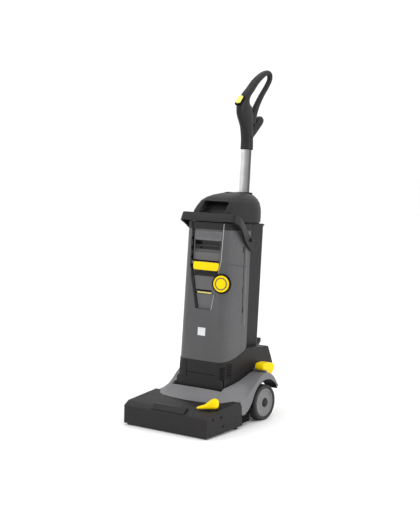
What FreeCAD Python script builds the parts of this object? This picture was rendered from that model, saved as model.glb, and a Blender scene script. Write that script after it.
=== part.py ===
"""Upright wet and dry floor scrubber: a parametric document with one object per piece.

Frame: millimetres, +Z up, the operator stands at +Y, X = 0 is the mirror plane and the
origin lies on the floor under the middle of the machine. The head, the wheels and what
they carry are drawn in this frame. Everything above the axle is drawn in the upright's
own frame, whose origin is the middle of the axle and which leans back by lean_angle.
"""
import FreeCAD, Part
import math
import os
import re
from types import SimpleNamespace

import Sketcher
from FreeCAD import Placement, Rotation, Vector

SIZES = [
    ("head_width", 334, "width of the head"),
    ("head_front", 288.8, "head's front face ahead of the origin"),
    ("hood_back", 103.8, "hood's rear wall ahead of the origin"),
    ("hood_lip", 63, "height where the front face ends"),
    ("hood_nose", 76, "height of the front edge of the top"),
    ("hood_crown", 89, "height of the rear edge of the top"),
    ("hood_foot", 6, "height of the hood's lower edge"),
    ("hood_wall", 3.5, "wall of the hood and shroud"),
    ("flap_width", 130, "raised flap on the nose"),
    ("brush_ahead", 235.8, "brush axis ahead of the origin"),
    ("brush_radius", 32, "brush over the bristles"),
    ("core_radius", 20, "brush core"),
    ("brush_length", 292, "brush"),
    ("floor_gap", 1, "bristle tips above the floor"),
    ("stub_radius", 8, "stubs that carry the brush"),
    ("plate_radius", 42, "round brush plate"),
    ("plate_thick", 4, "brush plate"),
    ("motor_ahead", 153.8, "brush motor axis ahead of the origin"),
    ("motor_up", 51, "brush motor axis height"),
    ("motor_radius", 26, "brush motor"),
    ("motor_length", 110, "brush motor"),
    ("big_pulley", 22, "pulley on the brush drive, radius"),
    ("small_pulley", 10, "pulley on the motor, radius"),
    ("belt_width", 9, "toothed belt"),
    ("belt_thick", 2.4, "toothed belt"),
    ("lip_thick", 3, "squeegee lips"),
    ("bar_height", 14, "suction bars"),
    ("bar_foot", 8, "suction bars above the floor"),
    ("pan_half", 98, "half width of the chassis pan"),
    ("pan_foot", 12, "pan above the floor"),
    ("pan_back", 90.2, "pan's rear edge behind the origin"),
    ("pan_wall", 3.5, "pan wall"),
    ("shoulder_half", 150, "half width of the pan's front shoulders"),
    ("shroud_half", 165, "half width of the shroud"),
    ("slot_half", 100, "half width of the shroud's slot for the upright"),
    ("arch_radius", 77, "wheel arch"),
    ("axle_back", 31.2, "axle behind the origin"),
    ("axle_radius", 8, "axle"),
    ("wheel_radius", 58, "wheel over the tyre"),
    ("wheel_width", 34, "wheel"),
    ("wheel_outer", 161, "outer face of the wheels from the middle"),
    ("disc_radius", 46, "wheel disc under the tyre"),
    ("run_gap", 0.05, "radial running clearance"),
    ("seat_gap", 0.3, "gap between pieces that only lie together"),
    ("lean_angle", 5, "upright leans back, degrees"),
    ("collar_half", 96, "half width of the lower housing"),
    ("collar_foot", 52, "lower housing's front edge above the axle"),
    ("collar_seam", 129, "front of the seam under the tank"),
    ("collar_top", 172, "level seat of the spine"),
    ("tank_front", 150, "tank's front face ahead of the axle"),
    ("tank_half", 94.5, "half width of the tank at its foot"),
    ("tank_top_half", 88, "half width of the tank at its top"),
    ("tank_split", 91, "wall between the two tanks ahead of the axle"),
    ("tank_top", 553, "tank's top above the axle"),
    ("tank_wall", 3.5, "tank wall"),
    ("tank_round", 30, "tank's rounded front corners"),
    ("lid_height", 22, "tank lid"),
    ("spine_half", 62, "half width of the spine"),
    ("spine_front", 28, "spine's front face ahead of the axle"),
    ("spine_back", 88, "spine's rear face behind the axle"),
    ("spine_wall", 3, "spine wall"),
    ("dome_half", 84, "half width of the dome"),
    ("dome_height", 103, "dome"),
    ("tube_back", 44, "handle tube behind the axle"),
    ("tube_radius", 17, "handle tube"),
    ("tube_wall", 1.5, "handle tube"),
    ("tube_foot", 430, "lower end of the handle tube"),
    ("sleeve_foot", 818, "lower edge of the grip's sleeve"),
    ("sleeve_radius", 19.5, "grip's sleeve"),
    ("grip_half", 17, "half width of the grip"),
    ("handle_half", 92, "carrying handle, half width inside its upper edge"),
    ("handle_thick", 6, "carrying handle"),
    ("cap_radius", 28.5, "filler cap"),
    ("cap_up", 382, "filler cap above the axle"),
    ("cap_out", 70, "filler cap from the middle"),
    ("cap_turn", 16, "filler cap faces this far to the right, degrees"),
    ("panel_half", 60, "half width of the recessed front panel"),
    ("panel_deep", 13, "depth of the recess in the tank's front"),
    ("latch_half", 50, "half width of the yellow latch"),
    ("latch_up", 435, "middle of the yellow latch above the axle"),
    ("latch_height", 25, "yellow latch"),
    ("pedal_in", 108, "pedal's inner end from the middle"),
    ("pedal_width", 42, "pedal"),
    ("pin_radius", 4, "lever, pedal and latch pins"),
]

doc = FreeCAD.newDocument("floor_scrubber")
sheet = doc.addObject("Spreadsheet::Sheet", "Sizes")
for row, (alias, value, meaning) in enumerate(SIZES, 1):
    sheet.set(f"A{row}", alias)
    sheet.set(f"B{row}", str(value))
    sheet.set(f"C{row}", meaning)
    sheet.setAlias(f"B{row}", alias)
doc.recompute()
dim = SimpleNamespace(**{alias: float(sheet.get(alias)) for alias, _, _ in SIZES})

ALONG_X = Rotation(Vector(0, 1, 0), 90)
ALONG_Y = Rotation(Vector(1, 0, 0), -90)
UPRIGHT = Rotation()
parts = []


# ---------------------------------------------------------------- drawing helpers
def bind(thing, prop, text):
    """Tie a property to an expression; a name with an underscore is a cell of the sheet."""
    text = str(text)
    thing.setExpression(prop, re.sub(r"[a-z]+_\w+", r"Sizes.\g<0>", text))


def primitive(kind, name, sizes, at=(0, 0, 0), turn=UPRIGHT):
    """Part primitive with bound sizes and a bound place."""
    item = doc.addObject("Part::" + kind, name)
    item.Placement = Placement(Vector(), turn)
    for prop, text in sizes.items():
        bind(item, prop, text)
    for axis, text in zip("xyz", at):
        bind(item, "Placement.Base." + axis, text)
    return item


def box(name, low, size):
    """Box from its lowest corner and its three sizes."""
    return primitive("Box", name, dict(zip(("Length", "Width", "Height"), size)), low)


def rod(name, radius, length, at, turn=UPRIGHT):
    """Cylinder from the middle of its first end."""
    return primitive("Cylinder", name, {"Radius": radius, "Height": length}, at, turn)


def fuse(name, *items):
    """One solid out of several."""
    joined = doc.addObject("Part::MultiFuse", name)
    joined.Shapes = list(items)
    return joined


def cut(name, base, *tools):
    """Base with every tool taken away."""
    result = doc.addObject("Part::Cut", name)
    result.Base = base
    result.Tool = tools[0] if len(tools) == 1 else fuse(name + "_tools", *tools)
    return result


def common(name, one, other):
    """What two solids share."""
    result = doc.addObject("Part::Common", name)
    result.Base = one
    result.Tool = other
    return result


def tube(name, outer, inner, length, at, turn=UPRIGHT):
    """Hollow cylinder, open at both ends."""
    return cut(name, rod(name + "_outside", outer, length, at, turn),
               rod(name + "_bore", inner, length, at, turn))


def outline(body, name, role, points, lift=0):
    """Closed sketch through points given as expressions, on one of the body's own planes."""
    sketch = body.newObject("Sketcher::SketchObject", name)
    plane = next(item for item in body.Origin.OriginFeatures if item.Role == role)
    sketch.AttachmentSupport = [(plane, "")]
    sketch.MapMode = "FlatFace"
    bind(sketch, "AttachmentOffset.Base.z", lift)
    corners = [Vector(evaluate(u), evaluate(v), 0) for u, v in points]
    count = len(corners)
    for i in range(count):
        sketch.addGeometry(Part.LineSegment(corners[i], corners[(i + 1) % count]), False)
    for i in range(count):
        sketch.addConstraint(Sketcher.Constraint("Coincident", i, 2, (i + 1) % count, 1))
    for i, (u, v) in enumerate(points):
        for kind, text, value in (("DistanceX", u, corners[i].x), ("DistanceY", v, corners[i].y)):
            number = sketch.addConstraint(Sketcher.Constraint(kind, -1, 1, i, 1, value))
            bind(sketch, f"Constraints[{number}]", text)
    return sketch


def evaluate(text):
    """Value of an expression over the sheet's cells."""
    return float(sheet.evalExpression(re.sub(r"[a-z]+_\w+", r"Sizes.\g<0>", str(text))))


def extrude(body, sketch, length, kind="Pad"):
    """Pad or pocket to both sides of its sketch."""
    feature = body.newObject("PartDesign::" + kind, sketch.Name + "_" + kind.lower())
    feature.Profile = sketch
    feature.Midplane = True
    bind(feature, "Length", length)
    sketch.Visibility = False
    return feature


def profile(name, points, width, middle=0, role="YZ_Plane"):
    """Body padded from a side outline, the same amount to both sides of its middle."""
    body = doc.addObject("PartDesign::Body", name)
    extrude(body, outline(body, name + "_outline", role, points, middle), width)
    return body


def loft(name, low, high, low_points, high_points):
    """Body lofted between two plan outlines."""
    body = doc.addObject("PartDesign::Body", name)
    foot = outline(body, name + "_foot", "XY_Plane", low_points, low)
    head = outline(body, name + "_head", "XY_Plane", high_points, high)
    feature = body.newObject("PartDesign::AdditiveLoft", name + "_loft")
    feature.Profile = foot
    feature.Sections = [head]
    feature.Ruled = True
    return body


def column(name, low, high, points):
    """Body padded upward from a plan outline, from one height to another."""
    return profile(name, points, f"({high}) - ({low})", f"(({high}) + ({low}))/2", "XY_Plane")


def revolve(name, points, role="XZ_Plane", axis="V_Axis"):
    """Body turned from a half section about a sketch axis."""
    body = doc.addObject("PartDesign::Body", name)
    sketch = outline(body, name + "_section", role, points)
    feature = body.newObject("PartDesign::Revolution", name + "_turned")
    feature.Profile = sketch
    feature.ReferenceAxis = (sketch, [axis])
    feature.Angle = 360
    return body


def round_edges(body, radius, test):
    """Fillet the straight edges of a body that pass a test of their middle and direction."""
    doc.recompute()
    base = body.Tip
    chosen = []
    for number, edge in enumerate(base.Shape.Edges, 1):
        along = edge.tangentAt(edge.FirstParameter)
        middle = edge.valueAt((edge.FirstParameter + edge.LastParameter) / 2)
        if test(middle, along):
            chosen.append(f"Edge{number}")
    fillet = body.newObject("PartDesign::Fillet", body.Name + "_round")
    fillet.Base = (base, chosen)
    bind(fillet, "Radius", radius)
    return body


def rounded_front(half, front, radius):
    """Plan points from the left side round both front corners to the right side."""
    steps = [math.radians(angle) for angle in (0, 22.5, 45, 67.5, 90)]
    inset = [(f"({radius})*{1 - math.cos(turn):.4f}", f"({radius})*{1 - math.sin(turn):.4f}") for turn in steps]
    left = [(f"-({half}) + {across}", f"{front} + {along}") for across, along in inset]
    right_side = [(f"{half} - {across}", f"{front} + {along}") for across, along in reversed(inset)]
    return left + right_side


def mirrored_rect(half, back, front):
    """Plan rectangle about X = 0."""
    return [(f"-({half})", front), (half, front), (half, back), (f"-({half})", back)]


def keep(label, item, leaning=False):
    """Name a finished piece; a leaning one is placed in the upright's frame."""
    if leaning and item.TypeId in ("Part::Box", "Part::Cylinder"):
        bare, item = item, doc.addObject("Part::Compound", item.Name + "_piece")
        item.Links = [bare]
        bare.Label = bare.Name + "_bare"
    item.Label = label
    parts.append(item)
    if leaning:
        lean(item)
    return item


def lean(item):
    """Stand an item of the upright's frame on the axle."""
    item.Placement = Placement(Vector(), Rotation(Vector(1, 0, 0), -dim.lean_angle))
    bind(item, "Placement.Base.y", "axle_back")
    bind(item, "Placement.Base.z", "wheel_radius")
    bind(item, "Placement.Rotation.Angle", "-lean_angle")


def shaped(label, shape, leaning=False):
    """Piece whose shape none of the features above makes."""
    item = doc.addObject("Part::Feature", label)
    item.Shape = shape
    return keep(label, item, leaning)


# ---------------------------------------------------------------- head: hood
HOOD = [
    ("-head_front", "hood_foot"),
    ("-head_front + 2", "hood_lip"),
    ("-head_front + 22", "hood_nose"),
    ("-hood_back - 23", "hood_crown"),
    ("-hood_back - 3", "hood_crown - 15"),
    ("-hood_back", "hood_foot + 4"),
]
HOOD_INSIDE = [
    ("-head_front + hood_wall", "-10"),
    ("-head_front + hood_wall + 2", "hood_lip - 2"),
    ("-head_front + hood_wall + 21", "hood_nose - hood_wall"),
    ("-hood_back - 24", "hood_crown - hood_wall"),
    ("-hood_back - hood_wall - 3", "hood_crown - hood_wall - 14"),
    ("-hood_back - hood_wall", "-10"),
]
BRUSH_UP = "(floor_gap + brush_radius)"
PLATE_AT = "(head_width/2 - plate_thick)"
LEVER_AT = ("138", "-head_front + 62")

hood_block = profile("hood_block", HOOD, "head_width")
hood_hollow = profile("hood_hollow", HOOD_INSIDE, "head_width - 2*hood_wall")
plate_hole = rod("plate_hole", "plate_radius + seat_gap", "20",
                 ("head_width/2 - 15", "-brush_ahead", BRUSH_UP), ALONG_X)
duct_hole = rod("duct_hole", "15", "20", (0, "-hood_back - 15", "pan_foot + 34"), ALONG_Y)
drive_hole = rod("drive_hole", "stub_radius + run_gap", "20",
                 ("-head_width/2 - 5", "-brush_ahead", BRUSH_UP), ALONG_X)
lever_boss = rod("lever_boss", "12", "9", (*LEVER_AT, "hood_nose - 2"))
lever_hole = rod("lever_hole", "pin_radius + run_gap", "30", (*LEVER_AT, "hood_nose - 15"))
hood_shell = fuse("hood_shell", cut("hood_open", hood_block, hood_hollow), lever_boss)
keep("brush_hood", cut("hood_cut", hood_shell, plate_hole, duct_hole, drive_hole, lever_hole))

FLAP = [
    ("-head_front + 5", "hood_lip + 3*(hood_nose - hood_lip)/20"),
    ("-head_front + 22", "hood_nose"),
    ("-head_front + 31", "hood_nose + 9*(hood_crown - hood_nose)/(head_front - hood_back - 45)"),
    ("-head_front + 30", "hood_nose + 6"),
    ("-head_front + 21", "hood_nose + 6"),
    ("-head_front + 4.5", "hood_lip + 6"),
]
keep("hood_flap", profile("hood_flap", FLAP, "flap_width", 8))

# ---------------------------------------------------------------- head: brush and its drive
plate_disc = rod("plate_disc", "plate_radius", "plate_thick",
                 (PLATE_AT, "-brush_ahead", BRUSH_UP), ALONG_X)
plate_stub = rod("plate_stub", "stub_radius", "head_width/2 - brush_length/2 + 12",
                 ("brush_length/2 - 12", "-brush_ahead", BRUSH_UP), ALONG_X)
plate_knob = box("plate_knob", ("head_width/2 - 1", "-brush_ahead - 16", BRUSH_UP + " - 4"),
                 (1, 32, 8))
SCREW_ANGLES = (50, 130, 350)


def around_brush(radius, angle):
    """Place on a circle about the brush axis, as expressions."""
    across = f"-brush_ahead + {radius}*{math.cos(math.radians(angle)):.5f}"
    upward = f"{BRUSH_UP} + {radius}*{math.sin(math.radians(angle)):.5f}"
    return across, upward


screw_holes = [rod(f"screw_hole_{angle}", "2.5 + run_gap", "30",
                   ("head_width/2 - 20", *around_brush(32, angle)), ALONG_X)
               for angle in SCREW_ANGLES]
head_seats = [rod(f"head_seat_{angle}", "4.5 + run_gap", "2",
                  ("head_width/2 - 1.5", *around_brush(32, angle)), ALONG_X)
              for angle in SCREW_ANGLES]
plate_trim = box("plate_trim", ("head_width/2 - 10", "-brush_ahead - 60", -20),
                 (20, 120, "20 + hood_foot"))
plate_body = fuse("plate_body", cut("plate_flat", plate_disc, plate_trim), plate_stub, plate_knob)
keep("brush_plate", cut("plate_cut", plate_body, *screw_holes, *head_seats))
screws = [fuse(f"plate_screw_{angle}",
               rod(f"plate_shank_{angle}", "2.5", "8.5",
                   ("head_width/2 - 10", *around_brush(32, angle)), ALONG_X),
               rod(f"plate_head_{angle}", "4.5", "1.4",
                   ("head_width/2 - 1.5", *around_brush(32, angle)), ALONG_X))
          for angle in SCREW_ANGLES]
screw_group = doc.addObject("Part::Compound", "plate_screw_group")
screw_group.Links = screws
keep("plate_screws", screw_group)

core = rod("core_rod", "core_radius", "brush_length",
           ("-brush_length/2", "-brush_ahead", BRUSH_UP), ALONG_X)
core_bore = rod("core_bore", "stub_radius + run_gap", "13",
                ("brush_length/2 - 12.5", "-brush_ahead", BRUSH_UP), ALONG_X)
core_socket = rod("core_socket", "12 + seat_gap", "21",
                  ("-brush_length/2 - 0.5", "-brush_ahead", BRUSH_UP), ALONG_X)
keep("brush_core", cut("core_cut", core, core_bore, core_socket))
keep("brush_bristles", tube("bristle_tube", "brush_radius", "core_radius + run_gap",
                            "brush_length - 8",
                            ("-brush_length/2 + 4", "-brush_ahead", BRUSH_UP), ALONG_X))

PULLEY_AT = "(-head_width/2 + hood_wall + 1)"
drive_pulley = fuse(
    "drive_pulley",
    rod("pulley_rim", "big_pulley", "belt_width + 2", (PULLEY_AT, "-brush_ahead", BRUSH_UP), ALONG_X),
    rod("pulley_dog", "12", "head_width/2 - brush_length/2 - hood_wall - 1 + 18",
        (PULLEY_AT, "-brush_ahead", BRUSH_UP), ALONG_X),
    rod("pulley_shaft", "stub_radius", "hood_wall + 1.5",
        ("-head_width/2 + 0.5", "-brush_ahead", BRUSH_UP), ALONG_X))
keep("brush_pulley", drive_pulley)
rotor = fuse(
    "rotor",
    rod("rotor_pulley", "small_pulley", "belt_width + 2",
        (PULLEY_AT, "-motor_ahead", "motor_up"), ALONG_X),
    rod("rotor_shaft", "4", "40", (PULLEY_AT, "-motor_ahead", "motor_up"), ALONG_X))
keep("motor_pulley", rotor)
motor_can = rod("motor_can", "motor_radius", "motor_length",
                (PULLEY_AT + " + belt_width + 6", "-motor_ahead", "motor_up"), ALONG_X)
motor_bore = rod("motor_bore", "4 + run_gap", "45",
                 (PULLEY_AT + " + belt_width + 5", "-motor_ahead", "motor_up"), ALONG_X)
motor_foot = box("motor_foot", (PULLEY_AT + " + belt_width + 20", "-motor_ahead - 12", "bar_foot + bar_height"),
                 ("motor_length - 30", 24, "motor_up - bar_foot - bar_height"))
keep("brush_motor", cut("motor_cut", fuse("motor_body", motor_can, motor_foot), motor_bore))


def belt_face(big, small):
    """Flat loop round two circles on the drive end, joined by their outer tangents."""
    drive = Vector(0, -dim.brush_ahead, dim.floor_gap + dim.brush_radius)
    motor = Vector(0, -dim.motor_ahead, dim.motor_up)
    span = motor - drive
    base = math.atan2(span.z, span.y)
    lean_in = math.acos((big - small) / span.Length)

    def spot(centre, radius, angle):
        return centre + Vector(0, math.cos(angle), math.sin(angle)) * radius

    up, down = base + lean_in, base - lean_in
    edges = [
        Part.LineSegment(spot(drive, big, up), spot(motor, small, up)).toShape(),
        Part.Arc(spot(motor, small, up), spot(motor, small, base), spot(motor, small, down)).toShape(),
        Part.LineSegment(spot(motor, small, down), spot(drive, big, down)).toShape(),
        Part.Arc(spot(drive, big, down), spot(drive, big, base + math.pi), spot(drive, big, up)).toShape(),
    ]
    return Part.Face(Part.Wire(edges))


belt_inner = (dim.big_pulley + dim.seat_gap, dim.small_pulley + dim.seat_gap)
belt_outer = tuple(radius + dim.belt_thick for radius in belt_inner)
belt_ring = belt_face(*belt_outer).cut(belt_face(*belt_inner))
belt = belt_ring.extrude(Vector(dim.belt_width, 0, 0))
belt.translate(Vector(-dim.head_width / 2 + dim.hood_wall + 2, 0, 0))
shaped("drive_belt", belt.Solids[0])

# ---------------------------------------------------------------- head: water and suction
FRONT_BAR = "(-head_front + hood_wall + 1.5)"
REAR_LIP = "(-hood_back - 20)"
front_bar = cut("front_bar",
                box("front_bar_block", ("-head_width/2 + hood_wall + 3", FRONT_BAR, "bar_foot"),
                    ("head_width - 2*hood_wall - 6", 12, "bar_height + 10")),
                box("front_bar_slot", ("-head_width/2", FRONT_BAR + " + 2", "bar_foot - 1"),
                    ("head_width", "lip_thick", 13)))
keep("front_suction_bar", front_bar)
rear_bar_block = box("rear_bar_block", ("-head_width/2 + hood_wall + 3", "-hood_back - 90", "bar_foot"),
                     ("head_width - 2*hood_wall - 6", 84, "bar_height"))
rear_bar_mouth = box("rear_bar_mouth", ("-head_width/2 + 20", "-hood_back - 60", "bar_foot - 1"),
                     ("head_width - 40", 34, "bar_height - 3"))
rear_bar_slot = box("rear_bar_slot", ("-head_width/2", REAR_LIP, "bar_foot - 1"),
                    ("head_width", "lip_thick", 11))
rear_bar_port = rod("rear_bar_port", "11", "20", (0, "-hood_back - 38", "bar_foot + 2"))
keep("rear_suction_bar", cut("rear_bar", rear_bar_block, rear_bar_mouth, rear_bar_slot, rear_bar_port))
lips = doc.addObject("Part::Compound", "lips")
lips.Links = [
    box("front_lip", ("-head_width/2 + hood_wall + 4", FRONT_BAR + " + 2", 0),
        ("head_width - 2*hood_wall - 8", "lip_thick", "bar_foot + 12")),
    box("rear_lip", ("-head_width/2 + hood_wall + 4", REAR_LIP, 0),
        ("head_width - 2*hood_wall - 8", "lip_thick", "bar_foot + 10")),
]
keep("squeegee_lips", lips)

DUCT_UP = "(pan_foot + 34)"
elbow_outside = fuse(
    "elbow_outside",
    rod("elbow_rise", "13", "pan_foot + 34 - bar_foot - bar_height + 5",
        (0, "-hood_back - 38", "bar_foot + bar_height")),
    rod("elbow_run", "14.7", "104", (0, "-hood_back - 52", DUCT_UP), ALONG_Y))
elbow_inside = fuse(
    "elbow_inside",
    rod("elbow_rise_bore", "10", "pan_foot + 34 - bar_foot - bar_height + 3",
        (0, "-hood_back - 38", "bar_foot + bar_height - 1")),
    rod("elbow_run_bore", "11.5", "110", (0, "-hood_back - 49", DUCT_UP), ALONG_Y))
keep("suction_elbow", cut("elbow", elbow_outside, elbow_inside))

BAR_Y = "(-head_front + 90)"
BAR_Z = "(hood_nose - hood_wall - 0.1)"
water_tube = rod("water_tube", "6", "brush_length", ("-brush_length/2", BAR_Y, BAR_Z), ALONG_X)
water_bore = rod("water_bore", "4", "brush_length - 8", ("-brush_length/2 + 4", BAR_Y, BAR_Z), ALONG_X)
jets = [rod(f"jet_{i}", "1", "12", (f"{i} * brush_length/7 - brush_length/2", BAR_Y, BAR_Z + " - 12"))
        for i in range(1, 7)]
keep("water_bar", cut("water_bar_cut", water_tube, water_bore, *jets))

# ---------------------------------------------------------------- chassis
pan_rear = box("pan_rear", ("-pan_half", "-hood_back", "pan_foot"),
               ("2*pan_half", "hood_back + pan_back", "66"))
pan_shoulders = box("pan_shoulders", ("-shoulder_half", "-hood_back", "pan_foot - 2"),
                    ("2*shoulder_half", "60", "28"))
pan_hollow = box("pan_hollow", ("-pan_half + pan_wall", "-hood_back + pan_wall", "pan_foot + pan_wall"),
                 ("2*(pan_half - pan_wall)", "hood_back + pan_back + 10", "100"))
axle_hole = rod("axle_hole", "axle_radius + run_gap", "400", (-200, "axle_back", "wheel_radius"), ALONG_X)
pan_duct = rod("pan_duct", "15", "20", (0, "-hood_back - 5", DUCT_UP), ALONG_Y)
shoulder_hollows = [
    box(f"shoulder_hollow_{name}", (low, "-hood_back + pan_wall", "pan_foot - 2 + pan_wall"),
        ("shoulder_half - pan_half - pan_wall", "60 - 2*pan_wall", "40"))
    for name, low in (("right", "pan_half"), ("left", "-shoulder_half + pan_wall"))]
keep("chassis_pan", cut("pan_cut", fuse("pan_block", pan_rear, pan_shoulders),
                        pan_hollow, axle_hole, pan_duct, *shoulder_hollows))

keep("axle", rod("axle", "axle_radius", "2*wheel_outer - 6",
                 ("-wheel_outer + 3", "axle_back", "wheel_radius"), ALONG_X))
spacers = doc.addObject("Part::Compound", "spacers")
spacers.Links = [
    tube(f"spacer_{name}", "12", "axle_radius + run_gap",
         "wheel_outer - wheel_width - pan_half - 2*seat_gap", (low, "axle_back", "wheel_radius"), ALONG_X)
    for name, low in (("right", "pan_half + seat_gap"), ("left", "-wheel_outer + wheel_width + seat_gap"))]
keep("axle_spacers", spacers)

# ---------------------------------------------------------------- shroud over the head and wheels
SHROUD = [
    ("-hood_back - 64", "hood_crown - 3.2"),
    ("-hood_back - 23", "hood_crown + seat_gap"),
    ("-hood_back - 1", "hood_crown - 15"),
    ("-hood_back + seat_gap", "pan_foot + 28"),
    ("-hood_back + 18", "pan_foot + 28"),
    ("-hood_back + 50", "pan_foot + 50"),
    ("axle_back - 60", "wheel_radius + 40"),
    ("axle_back + 70", "wheel_radius + 40"),
    ("axle_back + 62", "wheel_radius + 66"),
    ("axle_back + 30", "wheel_radius + 86"),
    ("axle_back + 4", "wheel_radius + 100"),
    ("axle_back - 26", "wheel_radius + 98"),
    ("axle_back - 66", "wheel_radius + 78"),
    ("axle_back - 131", "wheel_radius + 66"),
    ("axle_back - 151", "wheel_radius + 60"),
    ("-hood_back - 36", "hood_crown + 14"),
]
SHROUD_INSIDE = [
    ("-hood_back - 20", "hood_crown + 4"),
    ("-hood_back + 3.5", "hood_crown - 15"),
    ("-hood_back + 3.5", "pan_foot - 10"),
    ("axle_back + 90", "pan_foot - 10"),
    ("axle_back + 64", "wheel_radius + 60"),
    ("axle_back + 59", "wheel_radius + 63"),
    ("axle_back + 28", "wheel_radius + 82"),
    ("axle_back + 3", "wheel_radius + 96"),
    ("axle_back - 25", "wheel_radius + 94"),
    ("axle_back - 64", "wheel_radius + 74"),
    ("axle_back - 118", "wheel_radius + 61"),
]
shroud_block = profile("shroud_block", SHROUD, "2*shroud_half")
arm_hollows = [
    profile(f"arm_hollow_{name}", SHROUD_INSIDE, "shroud_half - slot_half - 2*hood_wall",
            f"{sign}*(shroud_half + slot_half)/2")
    for name, sign in (("right", "1"), ("left", "-1"))]
slot = box("upright_slot", ("-slot_half", "axle_back - 151", 0), ("2*slot_half", 400, 400))
arches = [rod(f"arch_{name}", "arch_radius", "shroud_half", (low, "axle_back", "wheel_radius"), ALONG_X)
          for name, low in (("right", "slot_half - 1"), ("left", "-slot_half + 1 - shroud_half"))]
PEDAL_AT = ("axle_back + 20", "wheel_radius + 99")
ears = [profile(f"pedal_ear_{name}",
                [("axle_back + 8", "wheel_radius + 88"), ("axle_back + 32", "wheel_radius + 80"),
                 ("axle_back + 28", "wheel_radius + 104"), ("axle_back + 12", "wheel_radius + 104")],
                3, middle)
        for name, middle in (("inner", "pedal_in - 5"), ("outer", "pedal_in + pedal_width + 3"))]
pedal_hole = rod("pedal_hole", "pin_radius + run_gap", "80", ("pedal_in - 20", *PEDAL_AT), ALONG_X)
shroud_shell = cut("shroud_shell", shroud_block, slot, *arm_hollows, *arches)
keep("shroud", cut("shroud_cut", fuse("shroud_eared", shroud_shell, *ears), pedal_hole))

# ---------------------------------------------------------------- lever and pedal
LEVER = [
    ("-34", "-24"), ("-10", "-19"), ("9", "-13"), ("16", "-3"), ("13", "9"),
    ("3", "14"), ("-8", "11"), ("-16", "-4"), ("-33", "-18"),
]
lever_body = doc.addObject("PartDesign::Body", "lever_body")
lever_points = [(f"{LEVER_AT[0]} + {u}", f"{LEVER_AT[1]} + {v}") for u, v in LEVER]
extrude(lever_body, outline(lever_body, "lever_outline", "XY_Plane", lever_points,
                            "hood_nose + 7 + seat_gap + 10"), 20)
lever_bore = rod("lever_bore", "pin_radius + run_gap", "16", (*LEVER_AT, "hood_nose + 7"))
keep("release_lever", cut("lever_cut", lever_body, lever_bore))
keep("lever_pin", rod("lever_pin", "pin_radius", "31", (*LEVER_AT, "hood_nose - 9")))

PEDAL = [
    ("axle_back + 10", "wheel_radius + 99"), ("axle_back + 22", "wheel_radius + 93.5"),
    ("axle_back + 70", "wheel_radius + 93"), ("axle_back + 70", "wheel_radius + 104"),
    ("axle_back + 50", "wheel_radius + 115"), ("axle_back + 12", "wheel_radius + 113"),
]
pedal_block = profile("pedal_block", PEDAL, "pedal_width", "pedal_in + pedal_width/2")
keep("tilt_pedal", cut("pedal_cut", pedal_block,
                       rod("pedal_bore", "pin_radius + run_gap", "pedal_width + 10",
                           ("pedal_in - 5", *PEDAL_AT), ALONG_X)))
keep("pedal_pin", rod("pedal_pin", "pin_radius", "pedal_width + 12", ("pedal_in - 7", *PEDAL_AT), ALONG_X))
keep("pedal_spring", tube("pedal_spring", "6", "pin_radius + seat_gap", 2.6,
                          ("pedal_in - 3.2", *PEDAL_AT), ALONG_X))

# ---------------------------------------------------------------- wheels
DISC = [
    ("axle_radius + run_gap", "-wheel_width + 2"), ("20", "-wheel_width + 2"),
    ("24", "-14"), ("disc_radius - 8", "-14"), ("disc_radius - 6", "-wheel_width + 3"),
    ("disc_radius", "-wheel_width + 3"), ("disc_radius", "-3"), ("disc_radius - 6", "-1"),
    ("disc_radius - 9", "-5"), ("24", "-5"), ("18", "-2"), ("axle_radius + run_gap", "-2"),
]
TYRE = [
    ("disc_radius + run_gap", "-wheel_width + 1"), ("wheel_radius - 3", "-wheel_width"),
    ("wheel_radius", "-wheel_width + 4"), ("wheel_radius", "-4"), ("wheel_radius - 3", "-0.5"),
    ("disc_radius + run_gap", "-1"),
]
CAP = [("0", "0.5"), ("11", "-1"), ("15", "-2"), ("15.5", "-1.5"), ("13", "1"), ("8", "3"), ("0", "3.5")]
for side, sign in (("right", 1), ("left", -1)):
    turned = Rotation(Vector(0, 1, 0), 90 * sign)
    for piece, section in (("wheel_disc", DISC), ("tyre", TYRE), ("hub_cap", CAP)):
        wheel_part = keep(f"{piece}_{side}", revolve(f"{piece}_{side}", section))
        wheel_part.Placement = Placement(Vector(), turned)
        bind(wheel_part, "Placement.Base.x", f"{sign}*wheel_outer")
        bind(wheel_part, "Placement.Base.y", "axle_back")
        bind(wheel_part, "Placement.Base.z", "wheel_radius")

# ---------------------------------------------------------------- upright: lower housing
SEAM = [("-tank_front", "collar_seam"), ("-84", "collar_seam + 14"), ("-36", "collar_seam + 34")]
COLLAR = [
    ("-tank_front", "collar_foot"), ("-4", "collar_foot + 53"), ("127", "collar_foot + 53"),
    ("127", "collar_foot + 58"), ("115", "collar_seam + 5"), ("spine_back + 6", "collar_top"),
    ("-spine_front", "collar_top"), *reversed(SEAM),
]
COLLAR_INSIDE = [
    ("-tank_front + 3.5", "collar_foot + 5"), ("-4", "collar_foot + 57"), ("123", "collar_foot + 57"),
    ("111.5", "collar_seam + 4"), ("spine_back + 3.5", "collar_top - 3.5"),
    ("-spine_front - 1", "collar_top - 3.5"), ("-37", "collar_seam + 30.5"),
    ("-85", "collar_seam + 10.5"), ("-tank_front + 3.5", "collar_seam - 3.5"),
]
collar_block = round_edges(profile("collar_block", COLLAR, "2*collar_half"), "tank_round",
                           lambda middle, along: abs(along.z) > 0.9 and middle.y < -140)
collar_hollow = round_edges(profile("collar_hollow", COLLAR_INSIDE, "2*collar_half - 7"),
                            "tank_round - 3.5",
                            lambda middle, along: abs(along.z) > 0.9 and middle.y < -140)
vents = [
    box(f"vent_{side}_{i}", (low, "-tank_front + 18", f"collar_foot + 26 + {i}*5"), (30, 26, 2.2))
    for side, low in (("right", "collar_half - 20"), ("left", "-collar_half - 10"))
    for i in range(10)]
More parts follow.
